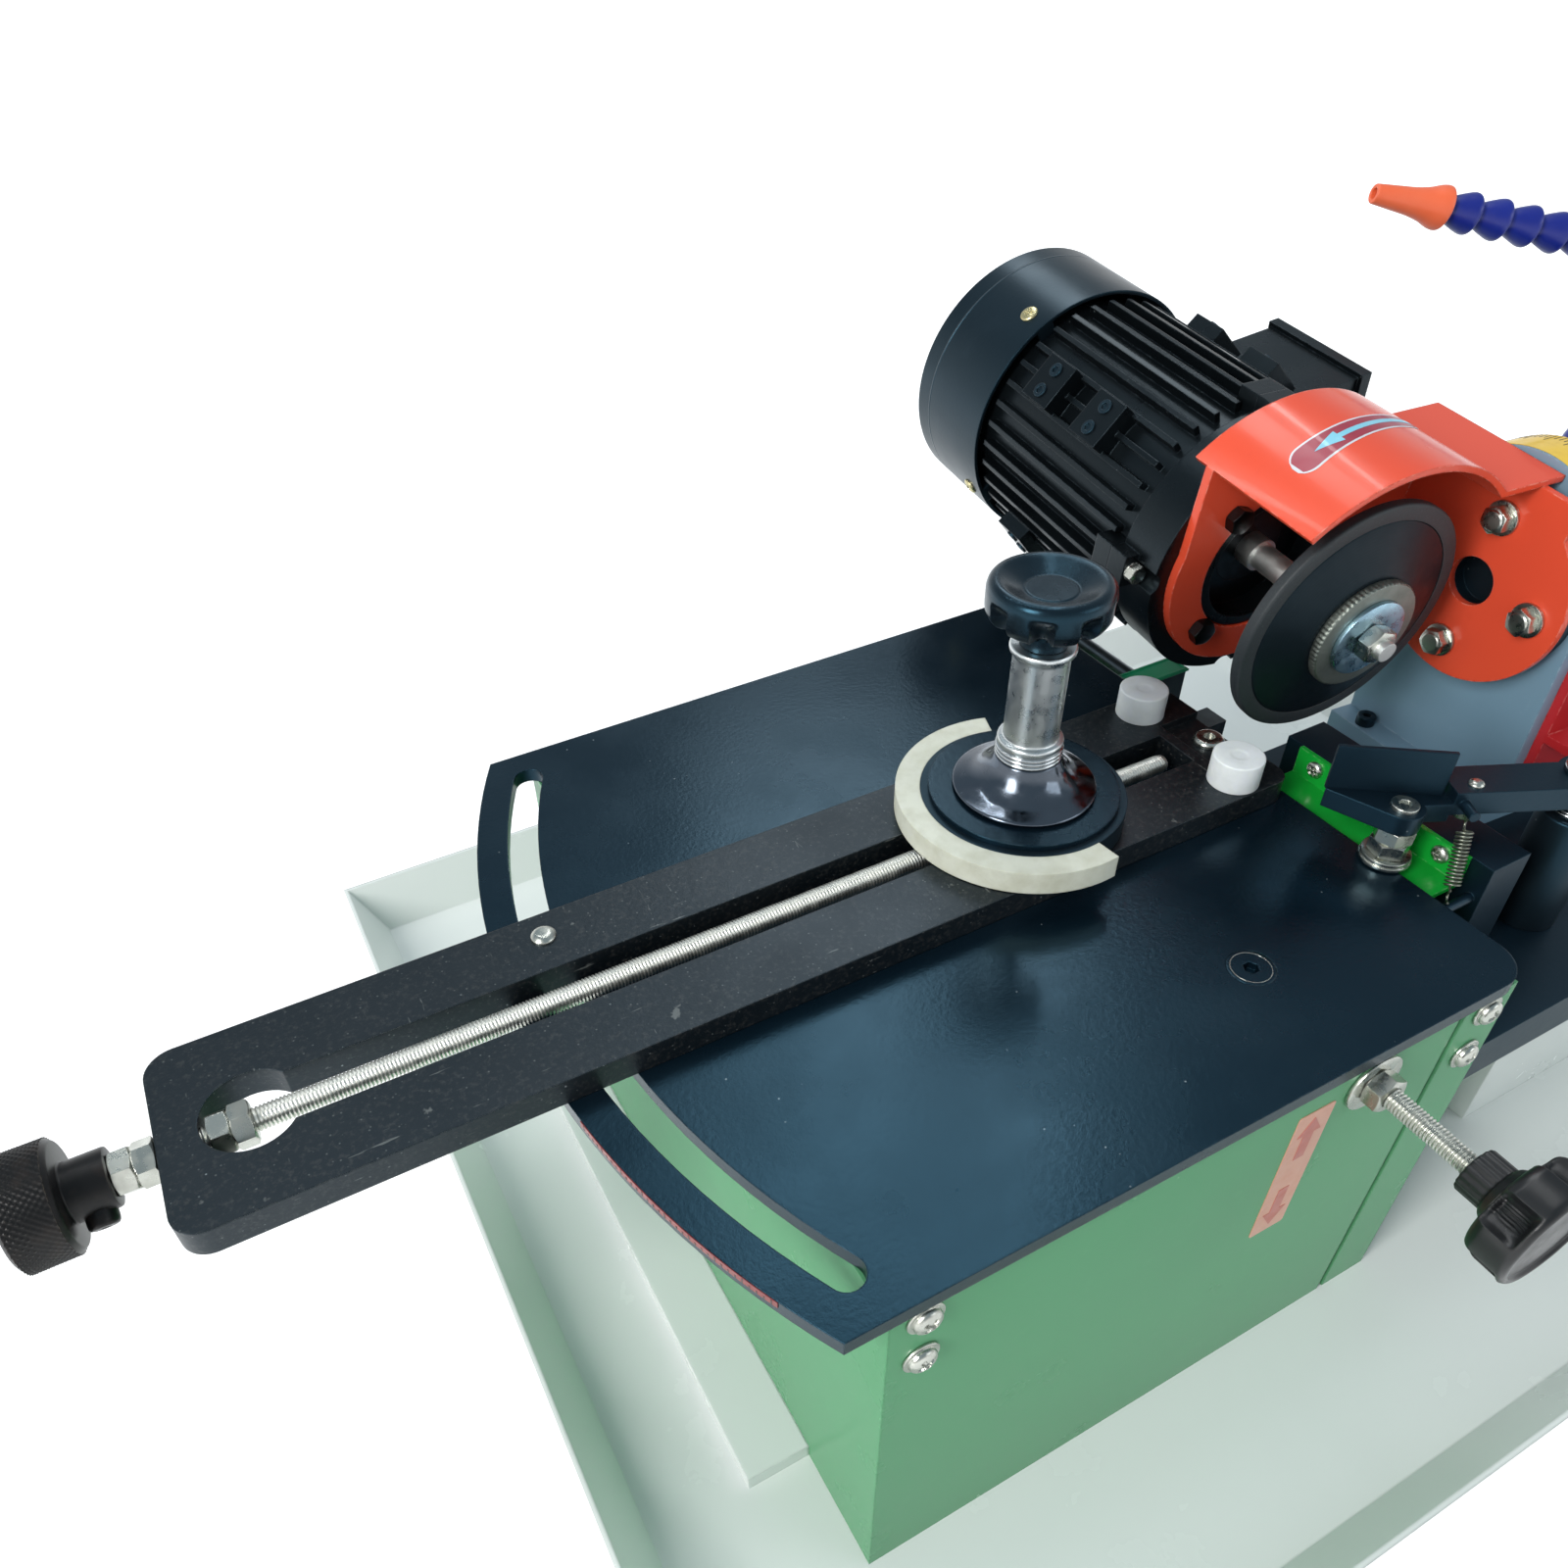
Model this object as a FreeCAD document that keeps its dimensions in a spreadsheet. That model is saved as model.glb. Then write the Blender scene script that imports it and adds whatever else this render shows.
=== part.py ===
"""Bench sharpener for circular saw blades, with coolant tray.

A blade is clamped on a carriage that a threaded rod moves along a swinging arm. A motor head with a
dish wheel tilts on a bracket that slides on a base plate, and a sprung tooth stop holds the blade.

Millimetres, +Z up. The arm's pivot is the line X = Y = 0, the tray's underside is Z = 0, and -Y is
the front, where the star knob is. Head pieces are drawn about the wheel's centre and then placed.
"""
import FreeCAD, Part
import math
import os
import re

from FreeCAD import Placement, Rotation, Vector

SIZES = {
    # coolant tray and its mounting rail
    "floor_thick": 2, "tray_sheet": 2, "tray_left": -334, "tray_right": 334, "tray_near": -235,
    "tray_far": 295, "tray_rim": 28, "tray_flare": 16, "rail_width": 27, "rail_near": -100,
    "rail_far": 170, "rail_height": 8,
    # green stand
    "stand_right": 7, "stand_height": 182, "stand_sheet": 2, "stand_slot_gap": 36, "table_lip": 2,
    "table_back_lip": 5, "shell_right": -20, "channel_left": -17, "panel_screw_inset": 12,
    "panel_screw_drop": 31, "panel_screw_pitch": 23, "panel_screw_radius": 2.5, "panel_head_radius": 5,
    "panel_head_height": 3, "panel_head_top": 2.8, "panel_screw_grip": 4, "angle_screw_grip": 6,
    "panel_washer_radius": 6.5, "panel_washer_thick": 1, "angle_head_radius": 3.6, "angle_head_top": 2.2,
    "angle_head_height": 2.6,
    # table
    "table_thick": 6, "table_right": 10, "table_half_width": 147, "slot_rim": 18, "table_corner": 14,
    "slot_radius": 285, "slot_width": 12, "slot_end_rim": 17.6, "cross_bar_inset": 48,
    "cross_bar_width": 24, "cross_bar_height": 20, "table_screw_x": -72.5, "table_screw_radius": 4,
    "table_screw_head": 8.5, "table_screw_sink": 4.5, "table_screw_length": 18, "socket_flats": 5,
    "socket_depth": 3,
    # swing arm
    "arm_gap": 0.2, "arm_thick": 10.6, "arm_left": -417, "arm_right": 7.5, "arm_width": 75,
    "arm_left_corner": 10, "arm_right_corner": 7, "arm_slot_half": 10, "arm_slot_right": -18,
    "arm_hole_x": -389, "arm_hole_radius": 15.5, "recess_left": -13, "recess_half": 15,
    "recess_depth": 3.5, "pivot_radius": 5, "pivot_head": 6.4, "pivot_head_height": 2.6,
    "pivot_head_top": 5.1, "running_gap": 0.06, "lock_pin_y": 26, "lock_pin_radius": 4,
    "lock_head_radius": 4.6, "lock_head_height": 2.4, "lock_head_top": 2.8, "lock_knob_radius": 10,
    "lock_knob_height": 14, "lock_knob_gap": 1, "lock_pin_end": 3, "lock_bore_end": 2, "lock_flute": 3,
    "lock_flute_offset": 11, "lock_flute_count": 6, "post_x": -14, "post_y": 27, "post_radius": 10,
    "post_height": 12.4, "post_chamfer": 0.8,
    # threaded rod and its knob
    "rod_radius": 4, "rod_right": -24, "nut_flats": 13, "nut_thick": 6.5, "nut_gap": 0.3,
    "hub_radius": 9.5, "hub_length": 12.5, "grip_radius": 18.5, "grip_length": 16.5,
    # blade carriage and clamp
    "clamp_x": -97.5, "slide_gap": 0.3, "tongue_half_length": 16, "seat_gap": 0.4, "seat_radius": 39,
    "crescent_radius": 48.5, "crescent_thick": 9.4, "crescent_start_angle": 71,
    "crescent_sweep_angle": 206, "disc_radius": 36, "disc_thick": 2.4, "clamp_gap": 0.3,
    "stud_radius": 6, "cone_foot": 2, "cone_radius": 27, "cone_neck": 12.5, "cone_height": 13,
    "ring_count": 3, "ring_thick": 1.7, "ring_groove": 0.6, "tube_radius": 10.2, "tube_flange": 12.2,
    "tube_flange_thick": 3, "tube_top_flange": 11.8, "tube_length": 42, "neck_radius": 8.5,
    "neck_height": 8, "lobe_radius": 22, "lobe_height": 17, "lobe_count": 6, "lobe_cut": 7,
    "lobe_offset": 25.5, "lobe_foot": 17.6, "lobe_crown": 19.4, "lobe_chamfer": 5, "dish_radius": 16,
    "dish_floor": 7.2, "dish_depth": 5, "stud_reach": 8, "stud_end_gap": 0.5,
    # star knob on the front
    "star_x": -58, "star_drop": 20, "star_rod_radius": 4, "star_rod_reach": 31, "star_inside": 30,
    "star_nut_flats": 13, "star_nut_thick": 6.5, "star_washer_radius": 12, "star_washer_thick": 1.6,
    "star_hub_radius": 8.5, "star_hub_length": 12, "star_radius": 21, "star_thick": 16,
    "star_lobe_count": 5, "star_cut": 7, "star_cut_offset": 23, "star_shoulder": 4,
    "star_shoulder_radius": 11.5,
    # angle strip, its block, the base plate and what carries it
    "angle_near": -103, "angle_far": -23, "angle_gap": 0.5, "angle_width": 17, "angle_sheet": 2,
    "angle_rise": 12, "angle_drop": 3, "angle_block_thick": 20, "angle_block_past": 8,
    "angle_screw_inset": 10,
    "angle_screw_rise": 7, "base_drop": 40, "base_thick": 20, "base_right": 328, "base_far": 24,
    "shelf_left": 284, "shelf_far": 100, "pedestal_left": 110, "pedestal_right": 270,
    "pedestal_near": -115, "pedestal_far": 16, "pedestal_wall": 4,
    # guide bar behind the pivot, with its block
    "bar_x": 30, "bar_radius": 4, "bar_drop": 14, "bar_near": 22, "bar_far": 132, "bar_lug_width": 12,
    "bar_lug_cap": 2, "bar_block_y": 64, "bar_block_length": 32, "bar_block_width": 10,
    "bar_block_rise": 9, "bar_block_fall": 9,
    # grinding head, drawn about the wheel's centre
    "wheel_x": 40, "wheel_y": -15, "wheel_rise": 61, "head_yaw": 4, "head_tilt": 6, "wheel_radius": 50,
    "rim_width": 6, "rim_front": 2, "rim_back": 3, "hub_face": 6, "wheel_hub": 24, "wheel_web": 6,
    "spindle_radius": 5.5, "hub_ring_radius": 23, "hub_ring_thick": 4, "inner_flange_radius": 18,
    "inner_flange_thick": 8, "washer_radius": 16, "washer_thick": 2, "spindle_nut_flats": 13,
    "spindle_nut_thick": 6.5, "spindle_end": 3, "spindle_tip": 4,
    # guard: motor plate, hood, side panel
    "plate_back": 44, "plate_thick": 4, "plate_radius": 47.5, "plate_left": 46, "plate_low": 30,
    "flange_hole": 32, "motor_pitch_radius": 37.5, "hood_radius": 68, "hood_sheet": 2.5,
    "hood_front": 8, "hood_overhang": 7, "hood_start_angle": 45, "hood_sweep_angle": 87,
    "hood_flange": 77.5, "panel_x": 67, "panel_thick": 3, "panel_radius": 42, "panel_front": 26,
    "panel_hole": 10, "bolt_circle": 29, "bolt_radius": 3, "bolt_flats": 10, "bolt_head": 5,
    "bolt_washer": 7, "bolt_washer_thick": 1.6,
    # tilt disc, bracket, feed rail, red lever bracket, handle
    "disc_plate_radius": 40, "disc_plate_thick": 8, "trunnion_radius": 12, "trunnion_end": 8,
    "dimple_depth": 5, "bracket_gap": 0.3, "bracket_thick": 20, "bracket_radius": 42, "bracket_rise": 10,
    "foot_front": 12,
    "foot_back": 60, "foot_height": 12, "foot_gap": 0.2, "rib_half": 6, "rib_top": -20, "rib_back": 30,
    "feed_rail_half": 10, "feed_rail_height": 6, "feed_rail_gap": 0.3, "feed_travel": 45,
    "lever_sheet": 4, "lever_inset": 6, "lever_length": 40, "lever_rise": 68, "lever_shelf": 30,
    "lever_shelf_rise": 36, "handle_radius": 5, "handle_length": 90, "ball_radius": 14,
    # motor
    "bell_length": 22, "bell_radius": 55, "lip_radius": 31.5, "lip_wall": 4, "lip_length": 3,
    "bell_recess": 8, "bearing_outer": 16, "bearing_inner": 7, "bearing_width": 10, "frame_length": 108,
    "frame_radius": 52, "frame_bore": 46, "fin_radius": 56.5, "fin_thick": 2.4, "fin_count": 36,
    "fin_front": 6, "fin_back": 3, "rib_root": 2, "ear_width": 14, "ear_radius": 61, "ear_length": 10,
    "ear_notch": 0.6, "lug_angle": 140, "lug_width": 20, "lug_radius": 62, "lug_length": 18,
    "lug_first": 33, "lug_pitch": 36, "cowl_radius": 59, "cowl_length": 60, "cowl_sheet": 1.6,
    "cowl_round": 6, "vent_radius": 3.6, "vent_count": 12, "vent_circle": 34, "vent_inner_circle": 20.4,
    "carrier_half": 4, "rear_shield": 7, "stator_start": 22, "stator_length": 60, "rotor_radius": 30,
    "air_gap": 0.5, "fan_radius": 46, "fan_blades": 8, "fan_blade_thick": 2, "fan_length": 22,
    "fan_hub": 16, "fan_gap": 8, "box_angle": 8, "box_clear": 38, "box_width": 60, "box_length": 56,
    "box_first": 26, "box_radius": 82, "lid_thick": 5, "lid_lip": 2, "gland_radius": 9,
    "gland_length": 14, "motor_screw_radius": 2.7, "motor_screw_head": 4.2, "motor_screw_flats": 9.7,
    "motor_screw_height": 5, "motor_screw_reach": 12, "cowl_screw_inset": 12, "cowl_screw_head": 4,
    "cowl_screw_height": 1.6, "cowl_screw_angle": 33,
    # tooth stop
    "pillar_x": 80, "pillar_y": -106, "pillar_radius": 12, "pillar_rise": 14, "pin_radius": 5,
    "collar_radius": 10, "collar_height": 5.8, "stop_gap": 0.2, "stop_angle": -26, "stop_bar_thick": 10,
    "stop_bar_half": 8, "stop_eye": 12, "stop_bar_length": 54, "stop_block_length": 26,
    "stop_block_half": 7.5, "stop_block_turn": 136, "stop_block_drop": 3, "stop_block_thick": 8,
    "finger_along": 96, "finger_across": 5, "finger_turn": -11, "finger_length": 41, "finger_height": 19,
    "finger_thick": 1.6, "stack_along": 72, "stack_across": -8, "stack_flats": 13, "stack_nut": 6.5,
    "stack_washer": 10, "stack_washer_thick": 1.8, "stack_pin_radius": 4, "stack_clear": 1,
    "stack_head": 1.6, "stack_head_radius": 5, "spring_along": 50, "spring_across": -13,
    "spring_foot_x": 16.5, "spring_foot_y": -108, "spring_foot_drop": 4, "spring_wire": 0.9,
    "spring_coil": 6, "spring_turns": 14, "spring_end": 1.5, "spring_peg": 2, "spring_peg_end": 3,
    # coolant hose
    "hose_x": 314, "hose_y": 70, "hose_heading": 153.6, "fitting_radius": 11, "fitting_stem": 8.2,
    "fitting_height": 35, "fitting_flats": 24, "fitting_nut": 12, "hose_straight": 102, "hose_bend": 45,
    "hose_bend_angle": 77.7, "hose_reach": 78, "rib_count": 16, "rib_radius": 9, "rib_waist": 5.6,
    "hose_bore": 3, "nozzle_length": 35, "nozzle_root": 9.5, "nozzle_shoulder": 9.3,
    "nozzle_waist": 5.7, "nozzle_tip": 4, "nozzle_bore": 2.2,
}

DERIVED = {
    "table_arc": "slot_radius + slot_rim",
    "slot_half_angle": "asin((table_half_width - slot_end_rim) / slot_radius)",
    "cross_bar_y": "table_half_width - cross_bar_inset",
    "stand_left": "stand_slot_gap - slot_radius",
    "stand_near": "table_lip - table_half_width",
    "stand_far": "table_half_width - table_back_lip",
    "table_under": "floor_thick + stand_height",
    "table_top": "table_under + table_thick",
    "arm_under": "table_top + arm_gap",
    "arm_top": "arm_under + arm_thick",
    "rod_z": "arm_under + arm_thick / 2",
    "base_top": "table_top - base_drop",
    "base_under": "base_top - base_thick",
    "seat_under": "arm_top + seat_gap",
    "seat_top": "seat_under + crescent_thick",
    "disc_top": "seat_top + disc_thick",
    "cone_under": "disc_top + clamp_gap",
    "cone_top": "cone_under + cone_foot + cone_height",
    "rings_top": "cone_top + ring_count * ring_thick",
    "tube_top": "rings_top + tube_length",
    "neck_top": "tube_top + neck_height",
    "knob_top": "neck_top + lobe_height",
    "pivot_seat": "arm_top - recess_depth",
    "panel_screw_high": "table_under - panel_screw_drop + panel_screw_pitch",
    "panel_screw_low": "table_under - panel_screw_drop",
    "star_z": "table_top - star_drop",
    "angle_left": "table_right + angle_gap",
    "angle_wall": "angle_left + angle_width",
    "angle_top": "table_top - angle_drop",
    "bar_z": "table_top - bar_drop",
    "wheel_z": "table_top + wheel_rise",
    "plate_face": "plate_back + plate_thick",
    "hood_inner": "hood_radius - hood_sheet",
    "disc_face": "panel_x + panel_thick",
    "bracket_face": "disc_face + disc_plate_thick + bracket_gap",
    "bracket_back": "bracket_face + bracket_thick",
    "foot_under": "base_top + foot_gap - wheel_z",
    "foot_top": "foot_under + foot_height",
    "bell_end": "plate_face + bell_length",
    "frame_end": "bell_end + frame_length",
    "cowl_end": "frame_end + cowl_length",
    "stack_low": "table_top + stack_clear",
    "stop_under": "table_top + pillar_rise + collar_height + stop_gap",
    "stop_top": "stop_under + stop_bar_thick",
    "hose_low": "base_top + fitting_height",
    "nut_inner": "arm_hole_x - sqrt(arm_hole_radius ^ 2 - nut_flats ^ 2 / 3) + nut_gap",
    "hub_right": "arm_left - nut_gap - 2 * nut_thick",
    "grip_right": "hub_right - hub_length",
}

doc = FreeCAD.newDocument("sharpener")
sheet = doc.addObject("Spreadsheet::Sheet", "Sizes")
for row, (alias, number) in enumerate(SIZES.items(), start=1):
    sheet.set(f"A{row}", alias)
    sheet.set(f"B{row}", str(number))
    sheet.setAlias(f"B{row}", alias)
doc.recompute()

TURN = {
    "x": Rotation(Vector(0, 1, 0), 90),
    "y": Rotation(Vector(1, 0, 0), -90),
    "z": Rotation(),
    "half": Rotation(Vector(0, 0, 1), 180),
}
ACROSS = {"x": ("y", "z"), "y": ("x", "z"), "z": ("x", "y")}
NODES = []
LUG_TURNS = (0, 80, -93)  # degrees from the first row of lugs on the motor to each row
SEGMENT_SHARES = (0.08, 0.28, 0.82)  # where a hose segment's skirt starts and ends, and its waist starts


# Binding sizes


def size(alias):
    """A size from the sheet, as a number."""
    return float(sheet.get(alias))


def formula(text):
    """Sheet references for the size names in a text, with derived names written out."""
    def swap(match):
        word = match.group(0)
        if word in DERIVED:
            return "(" + formula(DERIVED[word]) + ")"
        return "Sizes." + word if word in SIZES else word
    return re.sub(r"[a-z][a-z0-9_]*", swap, str(text))


def less(end, start):
    return f"({end}) - ({start})"


def bind(item, sizes):
    for name, text in sizes.items():
        item.setExpression(name, formula(text))
    return item


def put(item, x, y, z, turn=Rotation()):
    item.Placement = Placement(Vector(), turn)
    return bind(item, {"Placement.Base.x": x, "Placement.Base.y": y, "Placement.Base.z": z})


def along(item, axis, start, across, turn):
    """Places an item that runs along an axis, from a start, at two places across it."""
    place = {axis: start, ACROSS[axis][0]: across[0], ACROSS[axis][1]: across[1]}
    return put(item, place["x"], place["y"], place["z"], turn)


# Solids


def block(x, y, z):
    """A box between two places on each axis."""
    item = doc.addObject("Part::Box", "block")
    bind(item, {"Length": less(x[1], x[0]), "Width": less(y[1], y[0]), "Height": less(z[1], z[0])})
    return put(item, x[0], y[0], z[0])


def rod(axis, radius, span, across=(0, 0)):
    item = doc.addObject("Part::Cylinder", "rod")
    bind(item, {"Radius": radius, "Height": less(span[1], span[0])})
    return along(item, axis, span[0], across, TURN[axis])


def taper(axis, first, last, span, across=(0, 0)):
    item = doc.addObject("Part::Cone", "taper")
    bind(item, {"Radius1": first, "Radius2": last, "Height": less(span[1], span[0])})
    return along(item, axis, span[0], across, TURN[axis])


def hexagon(axis, flats, span, across=(0, 0)):
    item = doc.addObject("Part::Prism", "hexagon")
    item.Polygon = 6
    bind(item, {"Circumradius": f"({flats}) / sqrt(3)", "Height": less(span[1], span[0])})
    return along(item, axis, span[0], across, TURN[axis])


def ball(radius, x, y, z):
    item = bind(doc.addObject("Part::Sphere", "ball"), {"Radius": radius})
    return put(item, x, y, z)


def sector(axis, radius, span, start, sweep, across=(0, 0)):
    """A slice of a cylinder; angles run from X to Y about z, and from X to Z about y."""
    item = doc.addObject("Part::Cylinder", "sector")
    bind(item, {"Radius": radius, "Height": less(span[1], span[0]), "Angle": sweep})
    first = start if axis == "z" else -(start + size(sweep))
    return along(item, axis, span[0], across, TURN[axis] * Rotation(Vector(0, 0, 1), first))


def spoke(angle, near, far, half, span):
    """A block that stands out from the motor's axis at an angle, between two radii."""
    item = doc.addObject("Part::Box", "spoke")
    bind(item, {"Length": less(far, near), "Width": less(span[1], span[0]), "Height": f"2 * ({half})"})
    put(item, near, span[0], f"-({half})")
    arm = doc.addObject("Part::Compound", "spoke_turned")
    arm.Links = [item]
    arm.Placement = Placement(Vector(), Rotation(Vector(0, 1, 0), -angle))
    return arm


def join(*items):
    item = doc.addObject("Part::MultiFuse", "join")
    item.Shapes = list(items)
    item.Refine = True
    return item


def overlap(*items):
    item = doc.addObject("Part::MultiCommon", "overlap")
    item.Shapes = list(items)
    return item


def cut(base, *tools):
    item = doc.addObject("Part::Cut", "cut")
    item.Base = base
    item.Tool = tools[0] if len(tools) == 1 else join(*tools)
    item.Refine = True
    return item


def group(*items):
    item = doc.addObject("Part::Compound", "group")
    item.Links = list(items)
    return item


def corner(x, y, radius, side_x, side_y, z):
    """What a rounded corner takes away; the sides are 1 or -1, outward from the plate."""
    inner_x, inner_y = f"({x}) - {side_x} * ({radius})", f"({y}) - {side_y} * ({radius})"
    span_x = (inner_x, x) if side_x > 0 else (x, inner_x)
    span_y = (inner_y, y) if side_y > 0 else (y, inner_y)
    return cut(block(span_x, span_y, z), rod("z", radius, z, (inner_x, inner_y)))


def ring(axis, outer, inner, span, across=(0, 0)):
    return cut(rod(axis, outer, span, across), rod(axis, inner, span, across))


def around(count, radius, first=0):
    """Two formula texts for each of a count of places on a circle."""
    for index in range(count):
        angle = first + 360 / count * index
        yield angle, (f"({radius}) * cos({angle} deg)", f"({radius}) * sin({angle} deg)")


def node(name, item, frame=None):
    """Names a finished piece, and places it in the frame that it was drawn in."""
    if frame:
        item = put(group(item), *frame)
    item.Label = name
    NODES.append(item)
    return item


YAW = Rotation(Vector(0, 0, 1), -size("head_yaw"))
TILT = YAW * Rotation(Vector(1, 0, 0), size("head_tilt"))
SADDLE_FRAME = ("wheel_x", "wheel_y", "wheel_z", YAW)
HEAD_FRAME = ("wheel_x", "wheel_y", "wheel_z", TILT)
STOP_FRAME = ("pillar_x", "pillar_y", 0, Rotation(Vector(0, 0, 1), size("stop_angle")))


# Tray and stand


def flared(x, y, z, flare):
    """A block whose underside is smaller than its top by the flare on every side."""
    item = doc.addObject("Part::Wedge", "flared")
    bind(item, {
        "Xmin": f"({x[0]}) + ({flare})", "Xmax": f"({x[1]}) - ({flare})",
        "X2min": x[0], "X2max": x[1],
        "Zmin": f"({flare}) - ({y[1]})", "Zmax": f"-({y[0]}) - ({flare})",
        "Z2min": f"-({y[1]})", "Z2max": f"-({y[0]})", "Ymin": z[0], "Ymax": z[1]})
    return put(item, 0, 0, 0, Rotation(Vector(1, 0, 0), 90))


def tray():
    outer = flared(
        ("tray_left", "tray_right"), ("tray_near", "tray_far"), (0, "tray_rim"), "tray_flare")
    inner = flared(
        ("tray_left + tray_sheet", "tray_right - tray_sheet"),
        ("tray_near + tray_sheet", "tray_far - tray_sheet"),
        ("floor_thick", "tray_rim"), "tray_flare * (1 - floor_thick / tray_rim)")
    node("coolant_tray", cut(outer, inner))
    node("mounting_rail", block(
        ("stand_left - rail_width", "stand_left"), ("rail_near", "rail_far"),
        ("floor_thick", "floor_thick + rail_height")))


def panel_screw_places():
    for x in ("stand_left + panel_screw_inset", "stand_right - panel_screw_inset"):
        for z in ("panel_screw_high", "panel_screw_low"):
            yield x, z


def stand():
    height = ("floor_thick", "table_under")
    inside = ("stand_near + stand_sheet", "stand_far - stand_sheet")
    wall = ("stand_near", inside[0])
    holes = [rod("y", "panel_screw_radius", wall, place) for place in panel_screw_places()]
    star_hole = rod("y", "star_rod_radius + running_gap", wall, ("star_x", "star_z"))
    shell = cut(
        block(("stand_left", "shell_right"), ("stand_near", "stand_far"), height),
        block(("stand_left + stand_sheet", "shell_right"), inside, height),
        holes[0], holes[1], star_hole)
    channel = cut(
        block(("channel_left", "stand_right"), ("stand_near", "stand_far"), height),
        block(("channel_left", "stand_right - stand_sheet"), inside, height),
        holes[2], holes[3])
    node("stand_shell", shell)
    node("stand_channel", channel)


def panel_screws():
    """Cross screws with washers on the stand's front, and two on the angle strip."""
    face, washer = "stand_near", "panel_washer_thick"
    screws = []
    for place in panel_screw_places():
        screws.append(join(
            rod("y", "panel_screw_radius", (face, "stand_near + stand_sheet + panel_screw_grip"), place),
            rod("y", "panel_washer_radius", (f"{face} - {washer}", face), place),
            taper("y", "panel_head_top", "panel_head_radius",
                  (f"{face} - {washer} - panel_head_height", f"{face} - {washer}"), place)))
    screw_span = ("angle_wall", "angle_wall + angle_sheet + angle_screw_grip")
    for place in angle_screw_places():
        screws.append(join(
            rod("x", "panel_screw_radius", screw_span, place),
            taper("x", "angle_head_top", "angle_head_radius",
                  ("angle_wall - angle_head_height", "angle_wall"), place)))
    node("panel_screws", group(*screws))


def star_screw():
    """Screw through the stand's front with a fixed nut and washer, and a five-lobed knob."""
    place = ("star_x", "star_z")
    nut_face = "stand_near - star_washer_thick - star_nut_thick"
    bore = rod("y", "star_rod_radius + running_gap", (nut_face, "stand_near"), place)
    nut = join(
        rod("y", "star_washer_radius", ("stand_near - star_washer_thick", "stand_near"), place),
        hexagon("y", "star_nut_flats", (nut_face, "stand_near - star_washer_thick"), place))
    node("star_nut", cut(nut, bore))
    hub_back = f"{nut_face} - star_rod_reach"
    knob_back = f"{hub_back} - star_hub_length"
    knob_face = f"{knob_back} - star_thick"
    shoulder = f"{knob_back} - star_shoulder"
    rod_end = f"{knob_back} - star_thick / 2"
    node("star_screw", rod("y", "star_rod_radius", (rod_end, "stand_near + star_inside"), place))
    knob = join(
        rod("y", "star_hub_radius", (knob_back, hub_back), place),
        taper("y", "star_radius", "star_shoulder_radius", (shoulder, knob_back), place),
        rod("y", "star_radius", (knob_face, shoulder), place))
    flutes = [
        rod("y", "star_cut", (knob_face, knob_back), (f"star_x + {u}", f"star_z + {v}"))
        for _, (u, v) in around(int(size("star_lobe_count")), "star_cut_offset", 90)]
    hole = rod("y", "star_rod_radius", (rod_end, hub_back), place)
    node("star_knob", cut(knob, hole, *flutes))


# Table


def table_screw_places():
    return [("table_screw_x", "-(cross_bar_y)")]


def sunk_screw(place):
    """The form of a countersunk screw, flush with the table."""
    return join(
        rod("z", "table_screw_radius", ("table_top - table_screw_length", "table_top"), place),
        taper("z", "table_screw_radius", "table_screw_head",
              ("table_top - table_screw_sink", "table_top"), place))


def table():
    deep = ("table_under", "table_top")
    outline = overlap(
        block(("-table_arc", "table_right"), ("-table_half_width", "table_half_width"), deep),
        rod("z", "table_arc", deep))
    half = "slot_width / 2"
    full = doc.addObject("Part::Cylinder", "slot_outer")
    put(full, 0, 0, deep[0], TURN["half"])
    bind(full, {"Radius": f"slot_radius + {half}", "Height": less(*reversed(deep)),
                "Angle": "2 * slot_half_angle", "Placement.Rotation.Angle": "180 deg - slot_half_angle"})
    slot = [cut(full, rod("z", f"slot_radius - {half}", deep))]
    for side in (1, -1):
        end = ("-slot_radius * cos(slot_half_angle)",
               f"{side} * slot_radius * sin(slot_half_angle)")
        slot.append(rod("z", half, deep, end))
    corners = [
        corner("table_right", f"{side} * table_half_width", "table_corner", 1, side, deep)
        for side in (1, -1)]
    sinks = [sunk_screw(place) for place in table_screw_places()]
    pivot = rod("z", "pivot_radius", deep)
    node("table_plate", cut(outline, *slot, *corners, *sinks, pivot))

    bars = []
    for place in table_screw_places():
        y = place[1]
        bar = block(
            ("stand_left + stand_sheet", "stand_right - stand_sheet"),
            (f"({y}) - cross_bar_width / 2", f"({y}) + cross_bar_width / 2"),
            ("table_under - cross_bar_height", "table_under"))
        bars.append(cut(bar, sunk_screw(place)))
    node("table_rails", group(*bars))
    socket = ("table_top - socket_depth", "table_top")
    screws = [
        cut(sunk_screw(place), hexagon("z", "socket_flats", socket, place))
        for place in table_screw_places()]
    node("table_screws", group(*screws))
    head = ("pivot_seat + arm_gap", "pivot_seat + arm_gap + pivot_head_height")
    node("pivot_screw", join(
        rod("z", "pivot_radius", ("table_under", head[1])),
        taper("z", "pivot_head", "pivot_head_top", head)))


# Swing arm


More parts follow.
